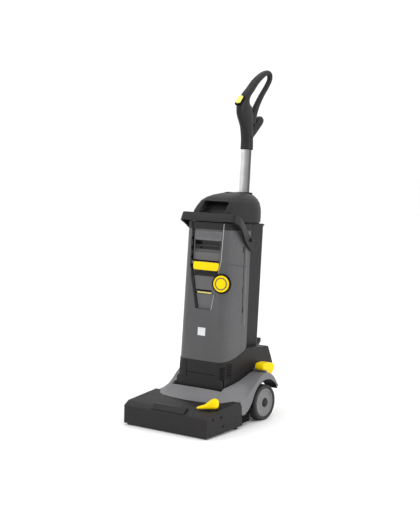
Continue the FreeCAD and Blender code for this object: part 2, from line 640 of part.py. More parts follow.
riser_port = rod("riser_port", "13.3", "40", (36, -5, "collar_top - 20"))
HOOK_UP = "(collar_seam + 17)"
hook_boss = rod("hook_boss", 11, 20, (0, 104, HOOK_UP), ALONG_Y)
hook_bore = rod("hook_bore", "6 + run_gap", 40, (0, 90, HOOK_UP), ALONG_Y)
GLAND_AT = (-60, 112, "collar_foot + 69")
gland_hole = rod("gland_hole", "9 + run_gap", 40, (GLAND_AT[0], 100, GLAND_AT[2]), ALONG_Y)
collar_open = cut("collar_open", collar_block, collar_hollow, riser_port, gland_hole, *vents)
keep("lower_housing", cut("collar_cut", fuse("collar_bossed", collar_open, hook_boss), hook_bore), True)

bracket_plate = box("bracket_plate", (-70, -4, "collar_foot + 47"), (140, 64, 6))
bracket_ears = [
    fuse(f"bracket_ear_{side}",
         rod(f"bracket_eye_{side}", 18, 12, (low, 0, 0), ALONG_X),
         profile(f"bracket_web_{side}",
                 [("-17", "4"), ("17", "4"), ("40", "collar_foot + 48"), ("-4", "collar_foot + 48")],
                 12, low + 6))
    for side, low in (("right", 55), ("left", -67))]
bracket_bore = rod("bracket_bore", "axle_radius + run_gap", "200", (-100, 0, 0), ALONG_X)
keep("pivot_bracket", cut("bracket_cut", fuse("bracket", bracket_plate, *bracket_ears), bracket_bore), True)

FAN_Y = -92
FAN_UP = "(collar_foot + 43.2)"
fan_can = fuse("fan_can", rod("fan_scroll", 40, 22, (0, FAN_Y, FAN_UP)),
               rod("fan_motor_can", 28, 14, (0, FAN_Y, FAN_UP + " + 22")))
fan_space = rod("fan_space", 36, 15, (0, FAN_Y, FAN_UP + " + 3"))
fan_inlet = rod("fan_inlet", 14, 10, (0, FAN_Y, FAN_UP + " - 3"))
fan_shaft_hole = rod("fan_shaft_hole", "3 + run_gap", 15, (0, FAN_Y, FAN_UP + " + 16"))
keep("fan_motor", cut("fan_cut", fan_can, fan_space, fan_inlet, fan_shaft_hole), True)
BLADES = [(7, -1, 26, 2), (-33, -1, 26, 2), (-1, 7, 2, 26), (-1, -33, 2, 26)]
blades = [box(f"impeller_blade_{i}", (x, FAN_Y + y, FAN_UP + " + 6"), (across, along, 8))
          for i, (x, y, across, along) in enumerate(BLADES)]
keep("fan_impeller", fuse("impeller", rod("impeller_disc", 34, 2, (0, FAN_Y, FAN_UP + " + 14")),
                          rod("impeller_hub", 8, 9, (0, FAN_Y, FAN_UP + " + 6")),
                          rod("impeller_shaft", 3, 15, (0, FAN_Y, FAN_UP + " + 15")), *blades), True)
keep("water_pump", fuse("pump", box("pump_block", (20, 40, "collar_foot + 57"), (44, 40, 34)),
                        rod("pump_nose", 9, 12, (42, 60, "collar_foot + 91"))), True)

# ---------------------------------------------------------------- upright: spine, plate, dome
PLATE_UP = "(tank_top + lid_height + 1)"
spine_block = round_edges(
    column("spine_block", "collar_top", PLATE_UP, mirrored_rect("spine_half", "spine_back", "-spine_front")),
    "18", lambda middle, along: abs(along.z) > 0.9 and middle.y > 0)
SPINE_INSIDE = mirrored_rect("spine_half - spine_wall", "spine_back - spine_wall",
                             "-spine_front + spine_wall")
spine_hollow = round_edges(
    column("spine_hollow", "collar_top - 10", "tank_top + lid_height - 3", SPINE_INSIDE),
    "18 - spine_wall", lambda middle, along: abs(along.z) > 0.9 and middle.y > 0)
guide_hole = rod("guide_hole", "tube_radius + 3 + run_gap", 30, (0, "tube_back", PLATE_UP + " - 15"))
riser_hole = rod("riser_hole", 13.3, 30, (36, -5, PLATE_UP + " - 15"))
keep("spine", cut("spine_cut", spine_block, spine_hollow, guide_hole, riser_hole), True)

keep("suction_riser", tube("suction_riser", 13, 11, "tank_top + lid_height - collar_top + 18",
                           (36, -5, "collar_top - 17")), True)
guide = fuse("guide", rod("guide_sleeve", "tube_radius + 3", "tank_top - tube_foot + 160",
                          (0, "tube_back", "tube_foot - 130")),
             rod("guide_flange", "tube_radius + 9", 4, (0, "tube_back", PLATE_UP + " + 4")))
keep("guide_tube", cut("guide_cut", guide,
                       rod("guide_bore", "tube_radius + run_gap", 400, (0, "tube_back", "tube_foot - 135"))), True)

DOME_REAR = [("24", "spine_back + 2"), ("51", "spine_back - 20"), ("70", "spine_back - 48"),
             ("dome_half", "spine_back - 84")]
DOME_PLAN = [(f"-({across})", back) for across, back in DOME_REAR]
DOME_PLAN += [*rounded_front("dome_half", "-tank_front + 14", "26"), *reversed(DOME_REAR)]
plate_block = column("head_plate_block", PLATE_UP, PLATE_UP + " + 4", DOME_PLAN)
keep("head_plate", cut("head_plate_cut", plate_block,
                       rod("plate_guide_hole", "tube_radius + 3 + run_gap", 20, (0, "tube_back", PLATE_UP + " - 8")),
                       rod("plate_riser_hole", 13.3, 20, (36, -5, PLATE_UP + " - 8"))), True)

DOME_UP = "(tank_top + lid_height + 5)"
DOME = [
    ("-tank_front + 14", DOME_UP), ("-tank_front + 14", DOME_UP + " + 26"),
    ("-tank_front + 27", DOME_UP + " + 46"), ("-tank_front + 40", DOME_UP + " + 64"),
    ("-tank_front + 60", DOME_UP + " + 78"), ("-tank_front + 104", DOME_UP + " + 89"),
    ("tube_back - 40", "tank_top + lid_height + dome_height"),
    ("tube_back + 10", "tank_top + lid_height + dome_height"),
    ("spine_back - 10", DOME_UP + " + 87"), ("spine_back + 2", DOME_UP + " + 66"), ("spine_back + 2", DOME_UP),
]
DOME_FRONT = [
    ("-dome_half", DOME_UP), ("dome_half", DOME_UP), ("dome_half - 1", DOME_UP + " + 30"),
    ("dome_half - 8", DOME_UP + " + 56"), ("dome_half - 20", DOME_UP + " + 74"),
    ("dome_half - 42", DOME_UP + " + 89"),
    ("26", "tank_top + lid_height + dome_height"), ("-26", "tank_top + lid_height + dome_height"),
    ("-dome_half + 42", DOME_UP + " + 89"), ("-dome_half + 20", DOME_UP + " + 74"),
    ("-dome_half + 8", DOME_UP + " + 56"), ("-dome_half + 1", DOME_UP + " + 30"),
]


def dome_solid(name, inset):
    """Dome as what a side outline and a front outline share, smaller by an inset."""
    side = [(f"({u})*(1 - {inset}/100)", f"{DOME_UP} + (({v}) - {DOME_UP})*(1 - {inset}/80)") for u, v in DOME]
    front = [(f"({u})*(1 - {inset}/80)", f"{DOME_UP} + (({v}) - {DOME_UP})*(1 - {inset}/80)")
             for u, v in DOME_FRONT]
    plan = [(f"({u})*(1 - {inset}/80)", f"({v})*(1 - {inset}/100)") for u, v in DOME_PLAN]
    upright_block = column(name + "_plan", DOME_UP, DOME_UP + " + 200", plan)
    both = common(name + "_both", profile(name + "_side", side, "2*dome_half"),
                  profile(name + "_front", front, 400, 0, "XZ_Plane"))
    return common(name, both, upright_block)


grip_recess = box("grip_recess", (-42, "-tank_front + 5", DOME_UP + " + 24"), (92, 46, 36))
dome_bore = rod("dome_bore", "tube_radius + 1", 200, (0, "tube_back", DOME_UP))
dome_cavity = cut("dome_cavity", dome_solid("dome_inner", 4),
                  box("recess_wall", (-46, "-tank_front", DOME_UP + " + 20"), (100, 55, 44)))
keep("dome", cut("dome_cut", dome_solid("dome_outer", 0), dome_cavity, grip_recess, dome_bore), True)

# ---------------------------------------------------------------- upright: cord hooks and gland
UPPER_HOOK = [
    ("spine_back", "tank_top + 2"), ("spine_back + 40", "tank_top + 4"), ("spine_back + 58", "tank_top + 18"),
    ("spine_back + 54", "tank_top + 21"), ("spine_back + 38", "tank_top + 14"), ("spine_back", "tank_top + 16"),
]
keep("upper_cord_hook", profile("upper_cord_hook", UPPER_HOOK, 40), True)
LOWER_HOOK = [
    ("126", "collar_seam + 4"), ("132", "collar_seam + 4"), ("136", "collar_seam + 20"),
    ("160", "collar_seam + 46"), ("158", "collar_seam + 58"), ("150", "collar_seam + 56"),
    ("128", "collar_seam + 30"),
]
hook_pin = rod("hook_pin", 6, 34, (0, 94, HOOK_UP), ALONG_Y)
keep("lower_cord_hook", fuse("lower_hook", profile("lower_hook_arm", LOWER_HOOK, 40), hook_pin), True)
keep("cord_gland", tube("cord_gland", 9, 4.5, 26, GLAND_AT, ALONG_Y), True)

# ---------------------------------------------------------------- tank: fresh and dirty water
SEAM_SLOPE = "14/(tank_front - 84)"


def above_seam(name, lift):
    """Space over the lower housing's seam, raised by a lift, back to the spine."""
    return profile(name, [
        ("-tank_front - 20", f"collar_seam + {lift} - 20*{SEAM_SLOPE}"),
        ("-84", f"collar_seam + 14 + {lift}"), ("-36", f"collar_seam + 34 + {lift}"),
        ("-spine_front", f"collar_top + {lift}"), ("-spine_front", "tank_top + 10"),
        ("-tank_front - 20", "tank_top + 10")], 300)


def tank_loft(name, plan, low, high):
    """Tapered upright block: the plan is a function of the half width."""
    return loft(name, low, high, plan("tank_half"), plan("tank_top_half"))


def fresh_plan(half):
    """Front chamber with side skirts that lap the dirty tank."""
    skirt, back = "-58", "-tank_split - 1"
    return [(f"-{half}", skirt), *rounded_front(half, "-tank_front", "tank_round"), (half, skirt),
            (f"{half} - 5", skirt), (f"{half} - 5", back), (f"-{half} + 5", back), (f"-{half} + 5", skirt)]


def fresh_space(half):
    """Inside of the fresh water chamber."""
    inner, back = f"{half} - tank_wall", "-tank_split - 1 - tank_wall"
    return [(f"-({inner})", back), *rounded_front(inner, "-tank_front + tank_wall", "tank_round - tank_wall"),
            (inner, back)]


def dirty_plan(half):
    """Rear chamber with flanges flush with the skirts."""
    back, front, lap = "-spine_front - seat_gap", "-tank_split", "-57.5"
    return [(f"-{half}", back), (f"-{half}", lap), (f"-{half} + 5.5", lap), (f"-{half} + 5.5", front),
            (f"{half} - 5.5", front), (f"{half} - 5.5", lap), (half, lap), (half, back)]


def dirty_space(half):
    """Inside of the dirty water chamber."""
    return mirrored_rect(f"{half} - 5.5 - tank_wall", "-spine_front - seat_gap - tank_wall",
                         "-tank_split + tank_wall")


RECESS = [
    ("-panel_half", "tank_top + 30"), ("-panel_half", "tank_top - 20"), ("-panel_half + 5", "latch_up - 35"),
    ("-panel_half/2", "latch_up - 140"), ("panel_half/2", "latch_up - 140"),
    ("panel_half - 5", "latch_up - 35"), ("panel_half", "tank_top - 20"), ("panel_half", "tank_top + 30"),
]
CAP_SIN = math.sin(math.radians(dim.cap_turn))
CAP_COS = math.cos(math.radians(dim.cap_turn))
CAP_TURN = Rotation(Vector(0, 0, 1), Vector(CAP_SIN, -CAP_COS, 0))


def cap_rod(name, radius, start, length):
    """Cylinder on the filler's axis, measured outward from the tank's skin."""
    place = (f"cap_out + {start * CAP_SIN:.4f}", f"-tank_front + 1.5 - {start * CAP_COS:.4f}", "cap_up")
    return rod(name, radius, length, place, CAP_TURN)


fresh_outer = tank_loft("fresh_outer", fresh_plan, "collar_seam - 10", "tank_top")
fresh_inner = tank_loft("fresh_inner", fresh_space, "collar_seam - 10", "tank_top - tank_wall")
recess = profile("recess", RECESS, "2*panel_deep", "tank_front", "XZ_Plane")
recess_wall = profile("recess_wall_block", [(f"({u})*1.06", f"{v}") for u, v in RECESS],
                      "2*(panel_deep + tank_wall)", "tank_front", "XZ_Plane")
fresh_skin = common("fresh_skin", fresh_outer, above_seam("fresh_seam", "0.5"))
fresh_room = cut("fresh_room", common("fresh_room_low", fresh_inner, above_seam("fresh_floor", "4")), recess_wall)
fresh_shell = cut("fresh_shell", fresh_skin, fresh_room, recess)
fresh_neck = fuse("fresh_necked", fresh_shell, cap_rod("neck", 20, -4, 12))
keep("fresh_water_tank", cut("fresh_cut", fresh_neck, cap_rod("neck_bore", 17, -20, 40)), True)

dirty_skin = common("dirty_skin", tank_loft("dirty_outer", dirty_plan, "collar_seam - 10", "tank_top"),
                    above_seam("dirty_seam", "0.5"))
dirty_room = common("dirty_room", tank_loft("dirty_inner", dirty_space, "collar_seam - 10", "tank_top + 5"),
                    above_seam("dirty_floor", "4"))
HANDLE_SCREW = ("-43", "tank_top - 30")
handle_screw_hole = rod("handle_screw_hole", "3 + run_gap", 300, (-150, *HANDLE_SCREW), ALONG_X)
keep("dirty_water_tank", cut("dirty_cut", dirty_skin, dirty_room, handle_screw_hole), True)


def lid_plan(inset):
    """Plan of the tank's top, smaller by an inset."""
    half, back = f"tank_top_half - {inset}", f"-spine_front - seat_gap - {inset}"
    return [(f"-({half})", back), *rounded_front(half, f"-tank_front + {inset}", f"tank_round - {inset}"),
            (half, back)]


LID_FLOAT = (-40, -60)
lid_block = column("lid_block", "tank_top", "tank_top + lid_height", lid_plan(0))
lid_hollow = column("lid_hollow", "tank_top - 1", "tank_top + lid_height - tank_wall", lid_plan(10))
lid_port = rod("lid_port", 11, 20, (*LID_FLOAT, "tank_top + lid_height - 10"))
keep("tank_lid", cut("lid_cut", lid_block, lid_hollow, lid_port), True)
CAGE_FOOT = "(tank_top - 50)"
cage = cut("cage",
           rod("cage_outside", 16, "50 + lid_height - tank_wall", (*LID_FLOAT, CAGE_FOOT)),
           rod("cage_bore", 13, "80", (*LID_FLOAT, CAGE_FOOT + " + 3")),
           rod("cage_drain", 9, "10", (*LID_FLOAT, CAGE_FOOT + " - 1")),
           box("cage_window", (-60, -64, CAGE_FOOT + " + 10"), (40, 8, 30)))
keep("float_cage", cage, True)
keep("tank_float", rod("tank_float", 12.6, 22, (*LID_FLOAT, CAGE_FOOT + " + 3 + seat_gap")), True)

# ---------------------------------------------------------------- tank: panel, latch, cap
panel_outline = [(f"({u})*0.99", v if "+ 30" not in v else "tank_top - 0.5") for u, v in RECESS]
panel_plate = profile("panel_plate", panel_outline, 3, "tank_front - panel_deep + 1.5", "XZ_Plane")
LATCH_TOP = "(latch_up + latch_height/2)"
LATCH_PIN = ("-tank_front + 4.5", LATCH_TOP + " - 4")
lugs = [box(f"latch_lug_{name}", (low, "-tank_front + 1", LATCH_TOP + " - 9"), (4, "panel_deep - 3.5", 10))
        for name, low in (("right", "latch_half + 0.5"), ("left", "-latch_half - 4.5"))]
latch_pin_hole = rod("latch_pin_hole", "2 + run_gap", "2*latch_half + 20",
                     ("-latch_half - 10", *LATCH_PIN), ALONG_X)
panel_slots = [box("slot_upper", ("-latch_half", "-tank_front", LATCH_TOP + " + 30"), ("2*latch_half", 30, 22)),
               box("slot_lower", ("-latch_half + 12", "-tank_front", "latch_up - 92"), ("2*latch_half - 24", 30, 7))]
panel_lugged = fuse("panel_lugged", panel_plate, *lugs)
keep("front_panel", cut("panel_cut", panel_lugged, latch_pin_hole, *panel_slots), True)
latch_block = box("latch_block", ("-latch_half", "-tank_front - 1.5", "latch_up - latch_height/2"),
                  ("2*latch_half", 9.5, "latch_height"))
latch_grip = rod("latch_grip", 6, "2*latch_half + 2", ("-latch_half - 1", "-tank_front + 10", "latch_up - latch_height/2 + 2"),
                 ALONG_X)
keep("tank_latch", cut("latch_cut", latch_block, latch_pin_hole, latch_grip), True)
keep("latch_pin", rod("latch_pin", 2, "2*latch_half + 8", ("-latch_half - 4", *LATCH_PIN), ALONG_X), True)
cap_body = cut("cap_body", cap_rod("cap_disc", "cap_radius", 2.5, 10), cap_rod("cap_pocket", "20 + seat_gap", 2, 6.5))
keep("filler_cap", cap_body, True)


# ---------------------------------------------------------------- tank: carrying handle
def handle_stations():
    """Upper and lower edge of the band from the right arm's end round the corner to the middle."""
    lid_top = dim.tank_top + dim.lid_height
    half, front = dim.handle_half, -dim.tank_front
    return [
        (Vector(half + 5, 6, lid_top - 53), Vector(half + 5, 2, lid_top - 83)),
        (Vector(half + 5, -26, lid_top - 50), Vector(half + 5, -32, lid_top - 87)),
        (Vector(half + 6, -56, lid_top - 30), Vector(half + 6.5, -72, lid_top - 59)),
        (Vector(half + 11, -91, lid_top + 1), Vector(half + 12, -100, lid_top - 30)),
        (Vector(half + 13, front + 30, lid_top + 19), Vector(half + 16, front + 24, lid_top - 9)),
        (Vector(half + 13, front + 12, lid_top + 27), Vector(half + 16, front + 4, lid_top + 2)),
        (Vector(half, front + 3, lid_top + 30), Vector(half + 2, front - 3, lid_top + 4)),
        (Vector(0, front + 3, lid_top + 30), Vector(0, front - 3, lid_top + 4)),
    ]


def handle_section(upper, lower, inward):
    """Closed section of the band, thickened towards the dome."""
    step = inward * dim.handle_thick
    return Part.makePolygon([upper, lower, lower + step, upper + step, upper])


def mirrored(point):
    """The same point on the left side."""
    return Vector(-point.x, point.y, point.z)


right = handle_stations()
inwards = [Vector(-1, 0, 0), Vector(-1, 0, 0), Vector(-1, 0, 0), Vector(-1, 0.1, 0),
           Vector(-0.95, 0.3, 0), Vector(-0.75, 0.65, 0), Vector(-0.15, 1, 0), Vector(0, 1, 0)]
sections = [handle_section(upper, lower, inward) for (upper, lower), inward in zip(right, inwards)]
sections += [handle_section(mirrored(upper), mirrored(lower), mirrored(inward))
             for (upper, lower), inward in list(zip(right, inwards))[-2::-1]]
band = Part.makeLoft(sections, True, True)
screw_at = Vector(-150, evaluate(HANDLE_SCREW[0]), evaluate(HANDLE_SCREW[1]))
screw_bore = Part.makeCylinder(3 + dim.run_gap, 300, screw_at, Vector(1, 0, 0))
shaped("carrying_handle", band.cut(screw_bore), True)
bolts = doc.addObject("Part::Compound", "bolts")
bolts.Links = [
    fuse(f"handle_screw_{name}",
         rod(f"handle_shank_{name}", 3, "handle_half + 6.6 - tank_top_half + 7",
             (f"{low}", *HANDLE_SCREW), ALONG_X),
         rod(f"handle_spacer_{name}", 7, "handle_half - 1.3 - tank_top_half - 0.8",
             (f"{spacer}", *HANDLE_SCREW), ALONG_X),
         rod(f"handle_head_{name}", 6, 2.5, (f"{head}", *HANDLE_SCREW), ALONG_X))
    for name, low, spacer, head in (
        ("right", "tank_top_half - 7", "tank_top_half + 0.8", "handle_half + 6.4"),
        ("left", "-handle_half - 6.6", "-handle_half + 1.3", "-handle_half - 8.9"))]
keep("handle_screws", bolts, True)

# ---------------------------------------------------------------- steering handle
TUBE_TOP = "(sleeve_foot + 54)"
keep("handle_tube", tube("handle_tube", "tube_radius", "tube_radius - tube_wall", TUBE_TOP + " - tube_foot",
                         (0, "tube_back", "tube_foot")), True)
GRIP = [
    (-19.5, 30), (-19.5, 47), (-27, 85), (-38, 112), (-55, 143), (-50, 158), (-34, 184), (-20, 204),
    (10, 233), (39, 257), (75, 271), (99, 273), (116, 266), (121, 252), (116, 237), (96, 204),
    (67, 168), (40, 130), (29, 100), (40, 112), (60, 120), (74, 114), (80, 102), (46, 68), (21, 34), (19.5, 30),
]
LOOP = [
    (-6, 182), (12, 196), (26, 216), (46, 238), (68, 252), (88, 259), (99, 250), (103, 239),
    (68, 201), (42, 170), (14, 144), (2, 144), (-6, 167),
]
SWITCH = [(-55, 152), (-61, 165), (-47, 184), (-34, 182), (-33, 162), (-44, 152)]


def on_tube(points):
    """Side outline measured from the tube's axis and the sleeve's lower edge."""
    return [(f"tube_back + {u}", f"sleeve_foot + {v}") for u, v in points]


def grown(points, by):
    """Outline moved outward from its own middle."""
    across = sum(u for u, _ in points) / len(points)
    upward = sum(v for _, v in points) / len(points)
    return [(round(u + math.copysign(by, u - across), 2), round(v + math.copysign(by, v - upward), 2))
            for u, v in points]


SWITCH_PIN = ("tube_back - 44", "sleeve_foot + 168")
SCREW_SPOTS = [("tube_back - 24", "sleeve_foot + 90"), ("tube_back + 2", "sleeve_foot + 74")]
grip_outside = fuse("grip_outside", profile("grip_profile", on_tube(GRIP), "2*grip_half"),
                    rod("grip_sleeve", "sleeve_radius", 60, (0, "tube_back", "sleeve_foot")))
grip_tools = [
    profile("grip_loop", on_tube(LOOP), 100),
    rod("grip_socket", "tube_radius + run_gap", 56, (0, "tube_back", "sleeve_foot - 1.7")),
    profile("switch_pocket", on_tube(grown(SWITCH, 2.4)), 19.4),
    rod("switch_bore", "2 + run_gap", 24.4, (-12.2, *SWITCH_PIN), ALONG_X),
]
for i, spot in enumerate(SCREW_SPOTS):
    grip_tools.append(rod(f"grip_screw_bore_{i}", "1.75 + run_gap", "2*grip_half - 6", ("-grip_half + 4", *spot), ALONG_X))
    grip_tools.append(rod(f"grip_screw_seat_{i}", "3.5 + run_gap", 6, ("grip_half - 3", *spot), ALONG_X))
grip_whole = cut("grip_whole", grip_outside, *grip_tools)
for side, low in (("right", 0), ("left", -100)):
    half_space = box(f"half_space_{side}", (low, -100, 700), (100, 500, 600))
    keep(f"grip_shell_{side}", common(f"grip_{side}", grip_whole, half_space), True)
keep("switch_rocker", fuse("rocker", profile("rocker_block", on_tube(SWITCH), 18),
                           rod("rocker_pin", 2, 24, (-12, *SWITCH_PIN), ALONG_X)), True)
grip_screws = doc.addObject("Part::Compound", "grip_screw_group")
grip_screws.Links = [
    fuse(f"grip_screw_{i}", rod(f"grip_shank_{i}", 1.75, "2*grip_half - 6.9", ("-grip_half + 4.2", *spot), ALONG_X),
         rod(f"grip_head_{i}", 3.5, 2, ("grip_half - 2.9", *spot), ALONG_X))
    for i, spot in enumerate(SCREW_SPOTS)]
keep("grip_screws", grip_screws, True)


def write_parts():
    """Check every object of the document, then write one file per piece."""
    doc.recompute()
    failed = [item.Name for item in doc.Objects if {"Invalid", "Error"} & set(item.State)]
    if failed:
        raise RuntimeError("objects that failed: " + ", ".join(failed))
    for item in parts:
        if item.Shape.isNull() or not item.Shape.isValid() or not item.Shape.Solids:
            raise RuntimeError("no valid solid in " + item.Label)
    os.makedirs("parts", exist_ok=True)
    for item in parts:
        item.Shape.exportStep(os.path.join("parts", item.Label + ".step"))
    print(len(parts), "parts written")


write_parts()
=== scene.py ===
"""Looks of an upright wet and dry floor scrubber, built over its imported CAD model.

All lengths are metres in the row frame: +Z up, the operator stands at +Y, X = 0 is the
mirror plane. The upright leans back about the wheel axle, so its pieces are worked out
in the upright's own frame and then turned with it.
"""
from __future__ import annotations

import logging
import math
from dataclasses import dataclass, field
from enum import Enum
from typing import Callable, Iterable, Sequence

import bmesh
import bpy
from mathutils import Matrix, Vector
from mathutils.bvhtree import BVHTree


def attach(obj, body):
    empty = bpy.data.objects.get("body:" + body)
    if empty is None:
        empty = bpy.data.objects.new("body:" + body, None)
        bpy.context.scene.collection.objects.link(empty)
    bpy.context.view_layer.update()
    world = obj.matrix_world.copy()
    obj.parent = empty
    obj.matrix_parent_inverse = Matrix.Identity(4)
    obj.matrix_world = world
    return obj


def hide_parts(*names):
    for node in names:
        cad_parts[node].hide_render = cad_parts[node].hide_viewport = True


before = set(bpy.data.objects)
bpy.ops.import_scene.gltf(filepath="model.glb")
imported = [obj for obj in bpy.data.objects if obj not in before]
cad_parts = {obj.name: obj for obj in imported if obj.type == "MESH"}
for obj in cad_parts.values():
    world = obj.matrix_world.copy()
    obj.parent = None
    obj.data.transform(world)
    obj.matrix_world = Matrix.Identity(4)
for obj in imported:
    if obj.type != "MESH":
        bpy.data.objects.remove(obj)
LOG = logging.getLogger("floor_scrubber")
MM = 0.001
AXLE = Vector((0.0, 31.2 * MM, 58.0 * MM))
LEAN = math.radians(5.0)
TANK_FRONT = -150.0
BRUSH_LEVER = Vector((138.0, -226.8, 0.0))
HANDS = (("right", 1.0), ("left", -1.0))
Colour = tuple[float, float, float]
Point = tuple[float, float]


# ------------------------------------------------------------------ shader maths
class Value:
    """A number socket that shader maths is written with."""

    def __init__(self, graph: "Graph", socket: bpy.types.NodeSocket) -> None:
        """Wrap an output socket of a graph."""
        self.graph = graph
        self.socket = socket

    def _maths(self, operation: str, first: object, second: object = 0.0) -> "Value":
        """One Math node.

        Args:
            operation: name of the Math node's operation.
            first: first value or number.
            second: second value or number.

        Returns:
            The node's result.
        """
        node = self.graph.node("ShaderNodeMath", {"operation": operation}, {0: first, 1: second})
        return Value(self.graph, node.outputs[0])

    def __add__(self, other: object) -> "Value":
        """self + other."""
        return self._maths("ADD", self, other)

    __radd__ = __add__

    def __mul__(self, other: object) -> "Value":
        """self * other."""
        return self._maths("MULTIPLY", self, other)

    __rmul__ = __mul__

    def __sub__(self, other: object) -> "Value":
        """self - other."""
        return self._maths("SUBTRACT", self, other)

    def __rsub__(self, other: object) -> "Value":
        """other - self."""
        return self._maths("SUBTRACT", other, self)

    def __truediv__(self, other: object) -> "Value":
        """self / other."""
        return self._maths("DIVIDE", self, other)

    def __rtruediv__(self, other: object) -> "Value":
        """other / self."""
        return self._maths("DIVIDE", other, self)

    def __pow__(self, other: object) -> "Value":
        """self ** other."""
        return self._maths("POWER", self, other)

    def above(self, other: object) -> "Value":
        """1 where self is greater than other, else 0."""
        return self._maths("GREATER_THAN", self, other)

    def sine(self) -> "Value":
        """Sine of self in radians."""
        return self._maths("SINE", self)

    def ramp(self, low: float, high: float) -> "Value":
        """Self stretched so that low becomes 0 and high becomes 1, kept within 0 and 1."""
        node = self.graph.node("ShaderNodeMapRange", {"clamp": True},
                               {"Value": self, "From Min": low, "From Max": high})
        return Value(self.graph, node.outputs[0])


class Graph:
    """The node tree of one material."""

    def __init__(self, name: str) -> None:
        """Start a material with a bare principled shader."""
        self.material = bpy.data.materials.new(name)
        self.material.use_nodes = True
        self.tree = self.material.node_tree
        self.tree.nodes.clear()
        self.shader = self.node("ShaderNodeBsdfPrincipled", {}, {})
        self.output = self.node("ShaderNodeOutputMaterial", {}, {"Surface": self.shader.outputs[0]})
        self.place = self.node("ShaderNodeTexCoord", {}, {}).outputs["Object"]

    def node(self, kind: str, settings: dict[str, object], inputs: dict[object, object]) -> bpy.types.Node:
        """Make one node.

        Args:
            kind: the node's type.
            settings: attributes set before anything is linked.
            inputs: values, sockets or Value objects by socket name or number.

        Returns:
            The new node.
        """
        made = self.tree.nodes.new(kind)
        for key, setting in settings.items():
            setattr(made, key, setting)
        for key, given in inputs.items():
            target = made.inputs[key]
            if isinstance(given, Value):
                given = given.socket
            if isinstance(given, bpy.types.NodeSocket):
                self.tree.links.new(given, target)
            else:
                target.default_value = given
        return made

    def noise(self, scale: float, detail: float = 2.0, stretch: Colour = (1.0, 1.0, 1.0)) -> Value:
        """Noise over the object's own coordinates, scale in waves per metre."""
        where = self.place
        if stretch != (1.0, 1.0, 1.0):
            where = self.node("ShaderNodeVectorMath", {"operation": "MULTIPLY"},
                              {0: self.place, 1: stretch}).outputs[0]
        made = self.node("ShaderNodeTexNoise", {},
                         {"Vector": where, "Scale": scale, "Detail": detail, "Roughness": 0.55})
        return Value(self, made.outputs["Fac"])

    def cells(self, scale: float) -> Value:
        """Distance to the nearest cell centre, for grain."""
        made = self.node("ShaderNodeTexVoronoi", {}, {"Vector": self.place, "Scale": scale})
        return Value(self, made.outputs["Distance"])

    def axis(self, name: str) -> Value:
        """One coordinate of the object's own space, in metres."""
        split = self.node("ShaderNodeSeparateXYZ", {}, {0: self.place})
        return Value(self, split.outputs[name])

    def edges(self) -> Value:
        """Mask of the convex edges, where handling rubs a surface."""
        made = self.node("ShaderNodeNewGeometry", {}, {})
        return Value(self, made.outputs["Pointiness"]).ramp(0.51, 0.58)

    def mix(self, factor: Value, first: object, second: object) -> bpy.types.NodeSocket:
        """Colour that goes from first to second as factor rises."""
        made = self.node("ShaderNodeMix", {"data_type": "RGBA"}, {0: factor, 6: first, 7: second})
        return made.outputs[2]

    def feed(self, **inputs: object) -> None:
        """Set or link sockets of the shader; underscores stand for spaces."""
        for key, given in inputs.items():
            target = self.shader.inputs[key.replace("_", " ")]
            if isinstance(given, Value):
                given = given.socket
            if isinstance(given, bpy.types.NodeSocket):
                self.tree.links.new(given, target)
            else:
                target.default_value = given

    def bump(self, height: Value, distance: float, strength: float = 1.0) -> None:
        """Drive the shader's normal from a height; distance is in metres."""
        made = self.node("ShaderNodeBump", {}, {"Height": height, "Distance": distance, "Strength": strength})
        self.feed(Normal=made.outputs[0])


def shade(colour: Colour, gain: float) -> tuple[float, float, float, float]:
    """The colour made lighter or darker, with full alpha."""
    return tuple(min(1.0, part * gain) for part in colour) + (1.0,)


# ------------------------------------------------------------------ finishes
@dataclass(frozen=True)
class Moulded:
    """Injection-moulded plastic with a spark-eroded grain and rubbed edges."""

    name: str
    colour: Colour
    roughness: float = 0.48
    grain: float = 0.00006
    wear: float = 0.5
    edge_gain: float = 1.9
    coat: float = 0.0
    sheen: float = 1.34

    def make(self) -> bpy.types.Material:
        """Build the material."""
        graph = Graph(self.name)
        clouds = graph.noise(9.0, 3.0)
        fine = graph.noise(900.0, 2.0)
        pits = graph.cells(1400.0)
        scuffs = graph.noise(60.0, 5.0, (1.0, 1.0, 0.25)).ramp(0.56, 0.78)
        rubbed = graph.edges() * graph.noise(140.0, 3.0).ramp(0.3, 0.62) * self.wear
        toned = graph.mix(clouds.ramp(0.3, 0.7), shade(self.colour, 0.9), shade(self.colour, 1.1))
        speckled = graph.mix(fine.ramp(0.35, 0.75) * 0.4, toned, shade(self.colour, 1.25))
        worn = graph.mix(rubbed, speckled, shade(self.colour, self.edge_gain))
        graph.feed(
            Base_Color=worn,
            Roughness=self.roughness + (clouds - 0.5) * 0.16 + fine * 0.06 - rubbed * 0.14 + scuffs * 0.1,
            IOR=self.sheen,
            Coat_Weight=self.coat,
        )
        graph.bump(fine * 0.6 + pits * 0.8 + scuffs * 0.3, self.grain)
        return graph.material


@dataclass(frozen=True)
class Rubber:
    """Dull black rubber with a dusty bloom and fine pores."""

    name: str
    colour: Colour
    roughness: float = 0.78
    dust: float = 0.35

    def make(self) -> bpy.types.Material:
        """Build the material."""
        graph = Graph(self.name)
        bloom = graph.noise(26.0, 5.0).ramp(0.45, 0.72) * self.dust
        pores = graph.cells(900.0)
        fine = graph.noise(500.0, 3.0)
        graph.feed(
            Base_Color=graph.mix(bloom, shade(self.colour, 0.85), shade(self.colour, 2.3)),
            Roughness=self.roughness + bloom * 0.15 + (fine - 0.5) * 0.1,
            IOR=1.5,
        )
        graph.bump(fine * 0.7 + pits_of(pores), 0.0001)
        return graph.material


def pits_of(cells: Value) -> Value:
    """Shallow round pits from a cell pattern."""
    return cells.ramp(0.0, 0.35)


